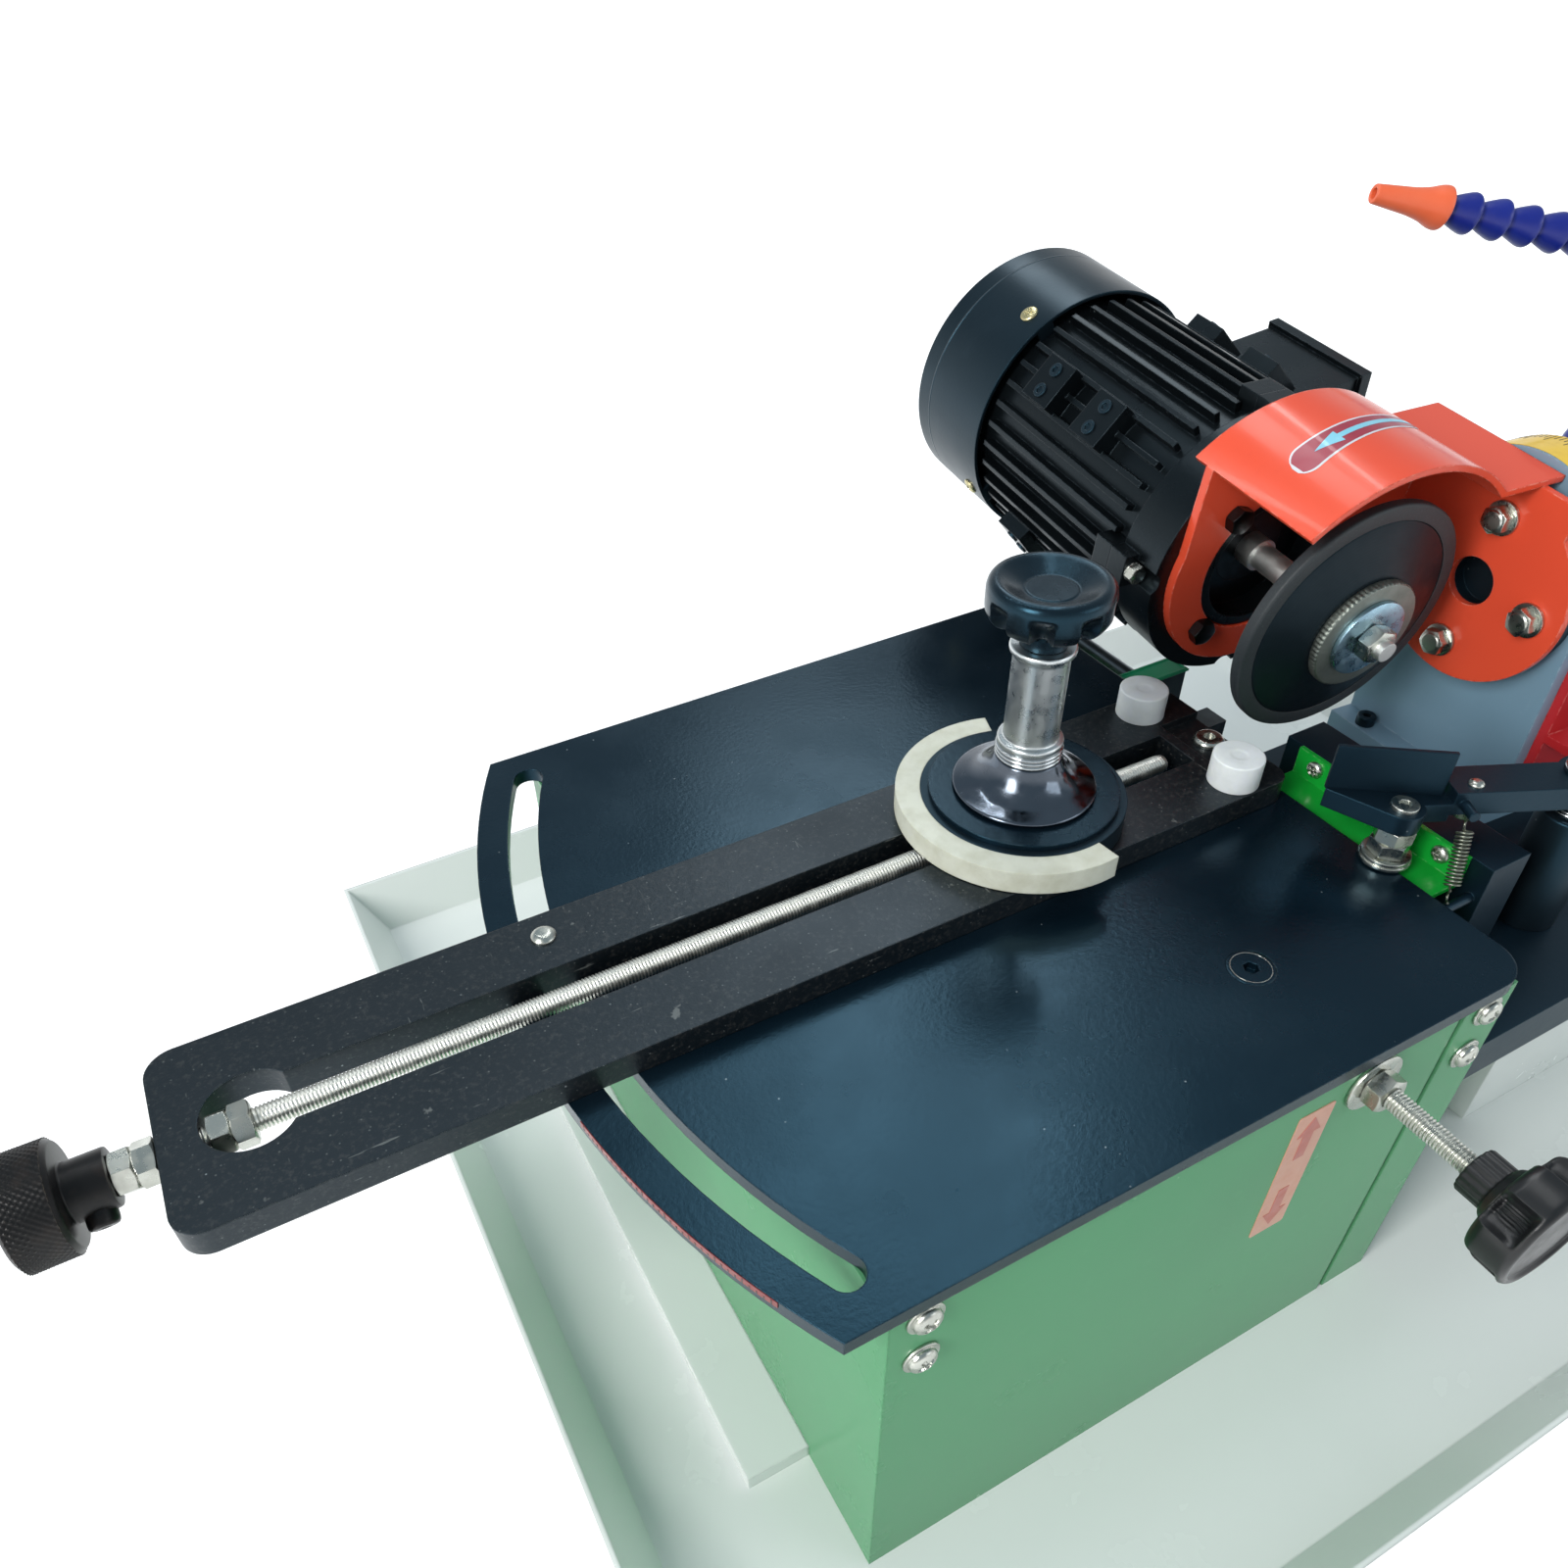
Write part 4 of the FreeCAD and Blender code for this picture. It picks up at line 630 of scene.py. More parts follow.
TRAY_WHITE = enamel("tray_white", (222, 227, 224), (210, 218, 213), 0.2, 1.4, smear=0.03)
STAND_GREEN = enamel("stand_green", (88, 151, 108), (98, 162, 118), 0.2, 1.4, (66, 110, 82), gloss=0.1)
ANGLE_GREEN = enamel("angle_green", (18, 152, 50), (12, 122, 44), 0.2, 0.5, (140, 190, 140))
GUARD_ORANGE = enamel("guard_orange", (222, 80, 53), (206, 70, 47), 0.2, 1.0, (246, 186, 166), gloss=0.3)
# The bracket's paler second colour gives clouds of painted sheen, standing in for pale reflections on its
# glossy paint
BRACKET_BLUE = enamel("bracket_blue", (114, 146, 166), (142, 166, 182), 0.16, 1.2, (156, 176, 190), 0.08)
LEVER_RED = enamel("lever_red", (182, 40, 44), (150, 34, 40), 0.2, 0.8, (220, 130, 124))
PLATE_GREEN = enamel("plate_green", (22, 128, 88), (16, 104, 70), 0.3, 0.3)
TABLE_BLACK = black_plate("table_black", (6, 17, 25), (70, 84, 92), 0.2, 0.8, 0.5, 0.06, 0.6)
ARM_BLACK = black_plate("arm_black", (12, 16, 19), (86, 84, 80), 0.34, 0.8, 0.5, 0.09, 0.7,
                        glance=(206, 232, 250), scuff=0.3)
BASE_BLACK = black_plate("base_black", (9, 19, 27), (66, 78, 84), 0.36, 0.8, 0.2)
STEEL_BLACK = black_plate("steel_black", (13, 18, 22), (80, 88, 92), 0.36, 0.5, 0.3)
MOTOR_BLACK = black_plate("motor_black", (8, 11, 13), (70, 80, 86), 0.24, 0.8, 0.5,
                          glance=(196, 228, 246), gloss=0.32)
COWL_BLACK = cowl_paint()
ZINC = plated("zinc", (194, 196, 188), (130, 128, 119), 0.22)
ZINC_BLUE = plated("zinc_blue", (160, 192, 208), (122, 154, 172), 0.24)
ZINC_YELLOW = plated("zinc_yellow", (198, 188, 146), (140, 128, 92), 0.26)
ROD_ZINC = plated("rod_zinc", (222, 222, 214), (190, 187, 176), 0.38, 0, 0.25)
BOLT_BLACK = plated("bolt_black", (58, 60, 62), (34, 36, 38), 0.28)
CHROME = plated("chrome", (200, 204, 206), (128, 132, 134), 0.09, 0.4, 0.25)
# Chrome darkened in its colour as painted reflection: it stands in for the dark surroundings that the bell
# mirrors, so it renders darker than the other chrome
BELL_CHROME_PAINTED_DARK = plated("bell_chrome_painted_dark", (98, 106, 116), (70, 77, 86), 0.1, 0.4, 0.3)
SPRING_STEEL = plated("spring_steel", (134, 138, 126), (74, 72, 60), 0.3, 0)
BAR_STEEL = turned_metal("bar_steel", (112, 120, 124), (70, 78, 84), 0.3, "Y")
BRIGHT_STEEL = turned_metal("bright_steel", (180, 180, 174), (112, 108, 100), 0.24, "Y")
# Paler than the other turned steel as painted light: the shaft sits in the hood's shade, and the pale colour
# keeps it bright silver
SHAFT_STEEL_PAINTED_LIGHT = turned_metal("shaft_steel_painted_light", (228, 230, 228), (186, 188, 186), 0.42, "Y")
TUBE_ALLOY = turned_metal("tube_alloy", (214, 219, 219), (176, 182, 184), 0.26, "Z", (120, 126, 128))
HUB_RING = turned_metal("hub_ring", (128, 134, 128), (96, 102, 96), 0.46, "Y")
STAR_BLACK = plastic("star_black", (14, 15, 17), (40, 42, 44), 0.3)
KNOB_BLACK = plastic("knob_black", (13, 18, 22), (36, 48, 56), 0.2, glance=BLUE_SHEEN)
HOSE_BLUE = plastic("hose_blue", (13, 30, 122), (24, 46, 150), 0.3, 0.9)
NOZZLE_ORANGE = plastic("nozzle_orange", (228, 102, 62), (236, 134, 96), 0.36, 0.9)
FAN_PLASTIC = plastic("fan_plastic", (58, 60, 62), (96, 98, 100), 0.45)
NYLON_CREAM = nylon("nylon_cream", (206, 209, 195), (172, 172, 150))
NYLON_WHITE = nylon("nylon_white", (226, 231, 232), (204, 210, 209))
GRIT = abrasive()
DISH = dish_body()
CORE = laminations()
KNURLED = knurled_steel()
SIGN_TAN = printed("sign_tan", (206, 150, 128), (190, 132, 112))
SIGN_ROSE = printed("sign_rose", (184, 98, 86), (160, 80, 72))
STICKER_PALE = printed("sticker_pale", (204, 208, 214), (176, 182, 192))
STICKER_RED = printed("sticker_red", (150, 28, 54), (108, 22, 44))
STICKER_BLUE = printed("sticker_blue", (122, 194, 216), (166, 210, 224))
SCALE_RED = printed("scale_red", (122, 34, 34), (170, 92, 84))
SCALE_YELLOW = printed("scale_yellow", (226, 186, 54), (196, 152, 44))
SCALE_INK = printed("scale_ink", (34, 32, 30), (62, 56, 48))

CAD_FINISHES = (
    (TRAY_WHITE, "coolant_tray mounting_rail pedestal"),
    (STAND_GREEN, "stand_shell stand_channel"),
    (ANGLE_GREEN, "angle_strip"),
    (TABLE_BLACK, "table_plate table_screws clamp_disc"),
    (STEEL_BLACK, "table_rails bar_block carriage tilt_disc"),
    (ARM_BLACK, "swing_arm"),
    (BASE_BLACK, "angle_block base_plate pawl_arm pawl_finger"),
    (BAR_STEEL, "guide_bar"),
    (BRIGHT_STEEL, "feed_rail"),
    (NYLON_CREAM, "blade_crescent"),
    (ROD_ZINC, "clamp_stud"),
    (BRACKET_BLUE, "head_bracket"),
    (LEVER_RED, "lever_bracket"),
    (GUARD_ORANGE, "guard"),
    (MOTOR_BLACK, "motor_bell motor_frame terminal_box"),
    (COWL_BLACK, "fan_cowl"),
    (CORE, "motor_stator"),
    (BOLT_BLACK, "motor_bearings"),
    (SHAFT_STEEL_PAINTED_LIGHT, "rotor_shaft"),
    (FAN_PLASTIC, "cooling_fan"),
)


def dress_cad_nodes():
    """Materials of the solids that are shown as they are"""
    for finish, names in CAD_FINISHES:
        for name in names.split():
            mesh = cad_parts[name].data
            mesh.materials.clear()
            mesh.materials.append(finish)


# Stand and table

def build_panel_screws():
    """Four cross screws with washers on the stand's front, and two on the green angle"""
    columns, rows = (-237, -5), (176, 153)
    angle_x, angle_rows, angle_z = 27.5, (-93, -33), 194
    one = joined(washer(6.5, 1, 3), moved(cross_screw(5, 3), up(0.9)))
    parts = []
    for x in columns:
        for z in rows:
            parts.append(moved(one, shift(x, STAND_FRONT, z) @ AGAINST_Y @ turn(20 + x + z)))
    for y in angle_rows:
        parts.append(moved(cross_screw(3.6, 2.6), shift(angle_x, y, angle_z) @ AGAINST_X @ turn(y)))
    piece("panel_screw_set", joined(*parts), ZINC, "base", ["panel_screws"])


STAR = shift(-58, 0, 170)


def build_star():
    """Star knob on its screw, with a nut and large washer on the stand's front"""
    screw_start, screw_length, washer_thick = -115, 89.1, 1.6
    front = STAR @ shift(0, STAND_FRONT, 0) @ AGAINST_Y
    nut = moved(hex_nut(NUT_FLATS, NUT_THICK, 4.2), up(washer_thick))
    nut = joined(washer(12, washer_thick, 4.4), nut)
    piece("star_lock_nut", moved(nut, front), ZINC, "base", ["star_nut"])
    place = STAR @ shift(0, screw_start, 0) @ AGAINST_Y
    screw = moved(thread(ROD_RADIUS, ROD_PITCH, screw_length), place)
    piece("star_threaded_rod", screw, ZINC, "star", ["star_screw"])
    piece("star_handwheel", star_knob(), STAR_BLACK, "star", ["star_knob"], sharp=40)


def star_knob():
    """Moulded knob: ribbed hub, five lobes parted by ribbed hollows, and a round dished face"""
    back, lobes, hub_ribs, hollow_ribs = -184.1, 5, 18, 90
    hub_end, lobe_start, lobe_end, core = 9.5, 12, 26, 14
    hub_rib, hollow_depth, hollow_rib = 0.4, 6.4, 0.25

    def wave(angle, radius, height):
        if height < hub_end:
            return radius - hub_rib * (0.5 - 0.5 * math.cos(hub_ribs * angle)), height
        if radius < core or height > lobe_end:
            return radius, height
        share = min(1, (height - lobe_start) / 3, (lobe_end - height) / 2.5)
        hollow = max(0, math.cos(lobes * angle)) ** 0.6
        rib = hollow_rib * math.cos(hollow_ribs * angle) if hollow > 0.3 else 0
        return radius - share * (hollow_depth * hollow - rib), height

    corners = [(4.2, 0.4, 0), (6.8, 0, 0.4), (8.5, 0, 1), (8.5, 9, 0.5), (9.6, 9.6, 0.6), (11.4, 12.2, 0.6),
               (14.2, 12.6, 1), (19.4, 13.4, 2), (21, 16, 2), (21, 18, 0), (21, 20, 0), (21, 22, 0),
               (21, 24, 0), (21, 26.4, 1), (19.8, 28, 1), (18.2, 28, 0.5), (17.4, 26.8, 0.6), (0, 26.4, 0)]
    outline = [(0, 3), (4.2, 3)] + rounded(corners, 4)
    return moved(lathe(outline, 180, wave), STAR @ shift(0, back, 0) @ AGAINST_Y)


def build_sign():
    """Narrow label beside the star knob with a plain arrow up and a plain arrow down"""
    half, tall, soft = 8.2, 35.6, 1.2
    corners = []
    for cx, cy, start in ((1, 1, 0), (-1, 1, 90), (-1, -1, 180), (1, -1, 270)):
        for k in range(5):
            angle = math.radians(start + 22.5 * k)
            x, y = cx * (half - soft), cy * (tall - soft)
            corners.append((x + soft * math.cos(angle), y + soft * math.sin(angle)))
    place = shift(-82.7, STAND_FRONT, 134.8) @ AGAINST_Y
    piece("turn_sign", plate(corners, 0.3, place), SIGN_TAN, "base")
    arrow = [(0, 32), (5.4, 23), (2.4, 23), (2.4, 9), (-2.4, 9), (-2.4, 23), (-5.4, 23)]
    above = place @ up(0.3)
    both = joined(plate(arrow, 0.15, above), plate(arrow, 0.15, above @ turn(180)))
    piece("turn_sign_arrows", both, SIGN_ROSE, "base")


def build_arc_scale():
    """Thin red scale strip along the top of the table's arc edge, with short dark ticks"""
    arc_radius = -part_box("table_plate")[0][0] / MM
    tall, top = 2.6, 189.6
    first, last = 188.6, 205

    def bend(p):
        angle = math.radians(p.x)
        r = arc_radius + p.z
        return Vector((r * math.cos(angle), r * math.sin(angle), top + p.y))

    def placed(p):
        return bend(Vector((p.x + (first + last) / 2, p.y - tall / 2, p.z)))

    piece("arc_scale", strip(last - first, tall, 0.3, 24, 2, placed), SCALE_RED, "base")
    ticks = []
    for angle, reach in tick_marks(first, last, count=33, margin=0.4, long=2.0, short=1.2):
        ticks.append(strip(0.09, reach, 0.1, 1, 1, lambda p: bend(
            Vector((p.x + angle, p.y - tall + reach / 2 + 0.2, p.z + 0.3)))))
    piece("arc_scale_ticks", joined(*ticks), SCALE_INK, "base")


def build_screw_rim():
    """Bright worn line round the flush screw in the table"""
    low, high = (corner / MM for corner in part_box("table_screws"))
    line = lathe([(6.9, 0), (7.2, 0), (7.2, 0.12), (6.9, 0.12)], 48, loop=True)
    place = shift((low.x + high.x) / 2, (low.y + high.y) / 2, high.z)
    piece("table_screw_rim", moved(line, place), ZINC, "base")


def build_bar_cover():
    """Green cover on the block of the guide bar, with a raised border"""
    low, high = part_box("bar_block")
    middle = [(a + b) / 2 / MM for a, b in zip(low, high)]
    wide, deep, border, thick = 16.4, 6.2, 1.0, 1.0
    place = shift(middle[0], middle[1], high[2] / MM)

    def slab(half_x, half_y, height, at):
        return plate([(-half_x, -half_y), (half_x, -half_y), (half_x, half_y), (-half_x, half_y)], height, at)

    bars = [slab(wide, deep, thick, place)]
    for y in (deep - border, border - deep):
        bars.append(slab(wide - 1, border / 2, 0.4, place @ shift(0, y, thick)))
    for x in (wide - border, border - wide):
        bars.append(slab(border / 2, deep - 1, 0.4, place @ shift(x, 0, thick)))
    piece("bar_block_cover", joined(*bars), PLATE_GREEN, "slider")


# Swing arm, blade clamp and feed rod

def build_arm_fasteners():
    """Pivot screw, lock pin with its knob under the table, and the two nylon posts"""
    pivot = [(0, 0)] + rounded([(6.4, 0, 0), (6.4, 1.3, 0.8), (5.1, 2.6, 0.6), (2.4, 2.6, 0)], 3)
    pivot += [(2.4, 1.2), (0, 1.2)]
    shank = lathe([(0, -30), (4, -30), (4, 0)], 32)
    head = moved(joined(lathe(pivot, 48), shank), up(197.5))
    piece("pivot_screw_head", head, ZINC, "base", ["pivot_screw"])

    dome = rounded([(4.6, 0, 0), (4.6, 0.9, 0.5), (2.8, 2.4, 1.2), (0, 2.4, 0)], 4)
    pin = [(0, -28.8), (3.4, -28.8), (4, -28.2), (4, 0)] + dome
    lock = shift(-283.8, 26, 0)
    piece("arm_lock_pin", moved(lathe(pin, 48), lock @ up(ARM_TOP)), ZINC, "arm", ["lock_pin"])

    def flutes(angle, radius, height):
        deep = 1.1 * (0.5 + 0.5 * math.cos(6 * angle)) if radius > 8 and 1 < height < 13 else 0
        return radius - deep, height

    grip = rounded([(4.1, 0, 0), (9.2, 0, 0.8), (10, 2, 1), (10, 12, 1.5), (8.6, 14, 1), (5.4, 14, 0.4),
                    (4.1, 13.4, 0)], 3)
    knob = moved(lathe(grip, 72, flutes, loop=True), lock @ up(169))
    piece("arm_lock_knob", knob, KNOB_BLACK, "lock", ["lock_knob"])

    post = [(0, 0, 0), (10, 0, 0.3), (10, 12.4, 0.9), (3.6, 12.4, 0.8), (2.4, 12.1, 0.8), (0, 12.1, 0)]
    posts = [spun(post, shift(-14, y, ARM_TOP)) for y in (-27, 27)]
    piece("nylon_post_pair", joined(*posts), NYLON_WHITE, "arm", ["nylon_posts"])


def build_feed_rod():
    """Threaded rod with its nuts and knurled knob"""
    place = up(ROD_HEIGHT) @ ALONG_X
    left, right = (corner[0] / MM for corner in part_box("lead_screw"))
    rod = moved(thread(ROD_RADIUS, ROD_PITCH, right - left), place @ up(left))
    piece("feed_threaded_rod", rod, ROD_ZINC, "rod", ["lead_screw"], sharp=70)
    first, last = (corner[0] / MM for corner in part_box("screw_nuts"))
    starts = (first, first + NUT_THICK, last - 2 * NUT_THICK, last - NUT_THICK)
    nuts = []
    for start, angle in zip(starts, (8, 31, 17, 52)):
        nuts.append(moved(hex_nut(NUT_FLATS, NUT_THICK, 3.9), place @ up(start) @ turn(angle)))
    piece("feed_rod_nuts", joined(*nuts), ZINC, "rod", ["screw_nuts"])
    knob = moved(knurled_knob(), place @ up(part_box("feed_knob")[0][0] / MM))
    piece("feed_knurled_knob", knob, KNURLED, "rod", ["feed_knob"], sharp=50)


def knurled_knob():
    """Diamond-knurled grip on a smooth hub with a set screw, on Z from 0 up"""
    grip_radius, grip_end, hub_radius, hub_end = 18.5, 16.5, 9.5, 29
    diamonds, depth = 52, 0.75
    tall = TAU * grip_radius / diamonds
    first, last = 1.4, grip_end - 1.4

    def wave(angle, radius, height):
        if radius != grip_radius:
            return radius, height
        around, above = angle * diamonds / TAU, (height - first) / tall
        grooves = ((around + above) % 1, (around - above) % 1)
        rise = min(min(share, 1 - share) for share in grooves)
        return radius - depth * (1 - 2 * rise), height

    rows = int((last - first) / tall * 4)
    outline = rounded([(0, 0.8, 0), (8, 0.8, 0.6), (9, 0, 0.4), (16.4, 0, 0.5),
                       (17.6, first - 0.2, 0.2), (17.7, first, 0)], 2)
    outline += [(grip_radius, first + (last - first) * k / rows) for k in range(rows + 1)]
    outline += rounded([(17.7, last, 0), (16.6, grip_end, 0.5), (hub_radius + 0.5, grip_end, 0.4),
                        (hub_radius, grip_end + 0.5, 0.2), (hub_radius, hub_end, 0.8), (4.4, hub_end, 0)], 2)
    outline += [(4.2, hub_end - 2), (0, hub_end - 2)]
    screw = socket_screw(4.6, 5, 2.6, 1.6, 2.2)
    set_screw = moved(screw, up(23) @ turn(-55) @ ALONG_X @ up(hub_radius - 1))
    return joined(lathe(outline, diamonds * 4, wave), set_screw)


def build_clamp():
    """Bell, rings, flanged tube and dished knob that press the blade down"""
    bell = [(4.4, 213.3, 0), (25.6, 213.3, 0.5), (27, 214, 0.7), (27, 215.1, 0.7), (25.4, 215.8, 0.8),
            (19.5, 218.2, 4), (14.6, 223, 4), (12.6, 227.4, 1.2), (12.2, 228.2, 0.5), (4.4, 228.2, 0)]
    piece("clamp_bell", spun(bell, CLAMP, 96, 5, loop=True), BELL_CHROME_PAINTED_DARK, "press", ["clamp_cone"])

    ring = [(4.4, 0, 0), (12, 0, 0.4), (12.5, 0.5, 0.3), (12.5, 1.2, 0.4), (11.9, 1.65, 0.3), (4.4, 1.65, 0)]
    rings = [spun(ring, CLAMP @ up(228.3 + 1.7 * k), 80, 2, loop=True) for k in range(3)]
    piece("clamp_ring_stack", joined(*rings), CHROME, "press", ["clamp_rings"])

    tube = [(4.4, 233.45, 0), (11.7, 233.45, 0.4), (12.2, 234.2, 0.5), (12.2, 235.8, 0.6), (11.6, 236.5, 0.5),
            (10.4, 236.8, 0.5), (10.2, 238, 0.8), (10.2, 271, 0.8), (10.4, 272.2, 0.4), (11.4, 272.5, 0.4),
            (11.8, 273.2, 0.5), (11.8, 274.8, 0.5), (11.2, 275.35, 0.3), (4.4, 275.35, 0)]
    tube = spun(tube, CLAMP, 80, loop=True)
    piece("clamp_flanged_tube", tube, TUBE_ALLOY, "press", ["clamp_tube"])
    knob = clamp_knob()
    piece("clamp_handwheel", knob, KNOB_BLACK, "press_knob", ["clamp_knob"], sharp=45)


def clamp_knob():
    """Round knob: dished top with a flat cap in the middle, and deep finger hollows round its side"""
    hollows, hollow_depth, hollow_end, core, face = 8, 4.6, 295.5, 14, 297

    def wave(angle, radius, height):
        if radius < core or height > face:
            return radius, height
        share = min(1, max(0, (hollow_end - height) / 4))
        return radius - hollow_depth * share * max(0, math.cos(hollows * angle)) ** 0.7, height

    corners = [(4.4, 275.45, 0), (8.5, 275.45, 0.4), (8.5, 282.5, 0.8), (9.5, 283.45, 0.6), (15.5, 283.45, 2),
               (20, 285.6, 3), (21.8, 289, 1), (22, 292, 0), (22, 294, 0), (22, 296.5, 2), (21.2, 299.2, 2),
               (18.8, 300.35, 1.2), (16.8, 299.8, 1.5), (9.4, 296.2, 1.0), (9.0, 296.6, 0.2),
               (8.6, 296.7, 0.2), (0, 296.7, 0)]
    outline = [(0, 279), (4.4, 279)] + rounded(corners, 4)
    return moved(lathe(outline, 160, wave), CLAMP)


# Tooth stop

def build_stop():
    """Pillar with chrome collars, and the bolt with nuts on the stop's block"""
    pillar = rounded([(0, 150, 0), (12, 150, 0.4), (12, 203, 0.9), (5, 204, 0)], 3)
    pillar += [(5, 204), (5, 221), (0, 221)]
    collar = [(5.02, 204, 0), (10, 204, 0.5), (10, 205.5, 0.5), (9, 205.9, 0.3), (9, 206.3, 0.3),
              (10, 206.7, 0.5), (10, 208.6, 0.6), (8.8, 209.75, 0.5), (5.02, 209.75, 0)]
    top = [(0, 226, 0), (2.6, 226, 0.1), (2.9, 225.6, 0.2), (6.6, 226, 0.8), (7.2, 224.4, 0.4),
           (9.2, 223.8, 0.5), (9.2, 222.6, 0.3), (10, 222.2, 0.5), (10, 220.4, 0.4), (5.02, 220.25, 0)]
    upper = moved(lathe(rounded(top, 3) + [(0, 220.25)], 72), PILLAR)
    collars = joined(spun(collar, PILLAR, 72, loop=True), upper)
    pillar = moved(lathe(pillar, 72), PILLAR)
    piece("stop_pillar", pillar, STEEL_BLACK, "base", ["pawl_pillar"])
    piece("stop_collars", collars, CHROME, "base", ["pawl_pillar"])

    bolt = STOP @ shift(-72, -8, 0)
    parts = [
        moved(washer(9.4, 1.7, 4), bolt @ up(190.6)),
        moved(washer(9, 1.7, 4), bolt @ up(192.35)),
        moved(hex_nut(NUT_FLATS, 6.3, 3.9), bolt @ up(194.1) @ turn(12)),
        moved(hex_nut(NUT_FLATS, 6.4, 3.9), bolt @ up(200.5) @ turn(40)),
        moved(socket_screw(5, 1.6, 4, 0.9, 0.4), bolt @ up(215)),
        moved(lathe([(0, 190.4), (3.5, 190.4), (3.98, 190.9), (3.98, 215), (0, 215)], 32), bolt),
    ]
    piece("stop_bolt_stack", joined(*parts), ZINC, "pawl", ["pawl_stack"])

    stud = STOP @ shift(-45, -3, 0)
    dome = spun([(0, 220, 0), (2.8, 220, 0), (2.8, 220.6, 0.3), (1.8, 221.6, 0.7), (0, 221.6, 0)], stud, 40)
    nut = moved(hex_nut(8, 4, 2), stud @ up(206))
    piece("stop_bar_stud", joined(dome, nut), ZINC, "pawl")


def build_spring():
    """Coil spring from the base to the stop, with a loop at each end"""
    foot, hook = Vector((16.5, -108, 186)), STOP @ Vector((-50, -13, 212.1))
    turns, coil, wire, loop, leg, steps, bends = 15, 2.5, 0.45, 2.2, 6.5, 20, 14
    along = (hook - foot).normalized()
    side = along.orthogonal().normalized()
    across = along.cross(side)

    def end_loop(tip, inward, k):
        """Point k of a loop that starts at the coil and ends past the tip"""
        angle = math.pi * (k / bends - 0.5)
        return tip + inward * loop * (1 - math.sin(angle)) + side * coil * math.cos(angle)

    first, last = leg, (hook - foot).length - 2 * loop
    centres = [end_loop(foot, along, k) for k in range(bends, 0, -1)]
    for k in range(turns * steps + 1):
        angle = TAU * k / steps
        rise = first + (last - first) * k / (turns * steps)
        centres.append(foot + along * rise + (side * math.cos(angle) + across * math.sin(angle)) * coil)
    centres += [end_loop(hook, -along, k) for k in range(1, bends + 1)]
    shape = swept(centres, wire, 8)
    spring = piece("stop_coil_spring", shape, SPRING_STEEL, None, ["pawl_spring"], sharp=60)
    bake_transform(spring)


# Motor head

def build_guard_bolts():
    """Four hex bolts with washers in a circle on the guard's side panel"""
    circle = 29
    head = spun([(4.2, 0, 0), (3.8, 0.6, 0.3), (0, 0.6, 0)], up(6), 40)
    one = joined(washer(7, 1.6, 3), moved(hex_nut(10, 4.5), up(1.6)), head)
    parts = []
    for k, twist in enumerate((10, 33, 48, 21)):
        angle = math.radians(90 * k)
        place = HEAD @ shift(67, circle * math.cos(angle), circle * math.sin(angle)) @ AGAINST_X
        parts.append(moved(one, place @ turn(twist)))
    piece("guard_hex_bolts", joined(*parts), ZINC, "head", ["guard_bolts"])


def build_motor_screws():
    """Bolts of the motor's face and ears, screws of its cowl, and plugs in its mounting lugs"""
    face_circle, ear_circle, cowl_radius, lug_top = 37.5, 56.5, 59, 62
    lug_angles, lug_rows = (47, 140, 220), (112, 148)
    face, ears, cowl, plugs = [], [], [], []
    for k in range(4):
        corner = math.radians(45 + 90 * k)
        place = HEAD @ shift(face_circle * math.cos(corner), 44, face_circle * math.sin(corner)) @ AGAINST_Y
        face.append(moved(hex_nut(9.7, 5), place @ turn(13 * k)))
        ear = math.radians(90 * k)
        place = HEAD @ shift(ear_circle * math.cos(ear), 60, ear_circle * math.sin(ear)) @ AGAINST_Y
        ears.append(moved(joined(hex_nut(7.2, 4.6), washer(4.15, 0.8, 2)), place @ turn(20 * k)))
        place = HEAD @ turn(-33 - 90 * k, "Y") @ shift(cowl_radius, 190, 0) @ ALONG_X
        cowl.append(moved(cross_screw(4, 1.6), place @ turn(30 * k)))
    for angle in lug_angles:
        for y in lug_rows:
            for z in (-5, 5):
                place = HEAD @ turn(-angle, "Y") @ shift(lug_top, y, z) @ ALONG_X
                plugs.append(moved(socket_screw(3.1, 0.9, 2.8, 0.8, 0.3), place @ turn(7 * y + z)))
    piece("motor_face_bolts", joined(*face), BOLT_BLACK, "head", ["motor_screws"])
    piece("motor_ear_bolts", joined(*ears), ZINC, "head", ["motor_screws"])
    piece("cowl_screws", joined(*cowl), ZINC_YELLOW, "head", ["motor_screws"])
    piece("motor_lug_plugs", joined(*plugs), STEEL_BLACK, "head")


HOOD_RADIUS = 68.05


def build_sticker():
    """Rounded label along the hood with a plain arrow for the wheel's turning"""
    first, last = 118.5, 60

    def middle(t):
        return 19.5 + 9 * t ** 0.6

    def half(t):
        if t < 0.1:
            return 6.6 * math.sqrt(1 - ((0.1 - t) / 0.1) ** 2)
        if t < 0.7:
            return 6.6 - 1.4 * (t - 0.1) / 0.6
        return 5.2 * math.sqrt(1 - ((t - 0.7) / 0.3) ** 2)

    def layer(start, end, width, lift, along):
        """Sheet between two shares of the label, as wide as width(t) each side of its middle"""
        def bend(p):
            t = start + (end - start) * (p.y + 0.5)
            angle = math.radians(first + (last - first) * t)
            r = HOOD_RADIUS + lift + p.z
            return HEAD @ Vector((r * math.cos(angle), middle(t) + 2 * p.x * width(t), r * math.sin(angle)))

        return strip(1, 1, 0.1, 6, along, bend)

    piece("hood_label", layer(0.003, 0.997, half, 0, 60), STICKER_PALE, "head")
    field = layer(0.022, 0.965, lambda t: max(0.05, half(t) - 0.9), 0.1, 60)
    piece("hood_label_field", field, STICKER_RED, "head")
    shaft = layer(0.3, 0.9, lambda t: 1.2, 0.2, 24)
    tip = layer(0.15, 0.32, lambda t: 0.05 + (t - 0.15) / 0.17 * 3.2, 0.2, 8)
    piece("hood_label_arrow", joined(shaft, tip), STICKER_BLUE, "head")


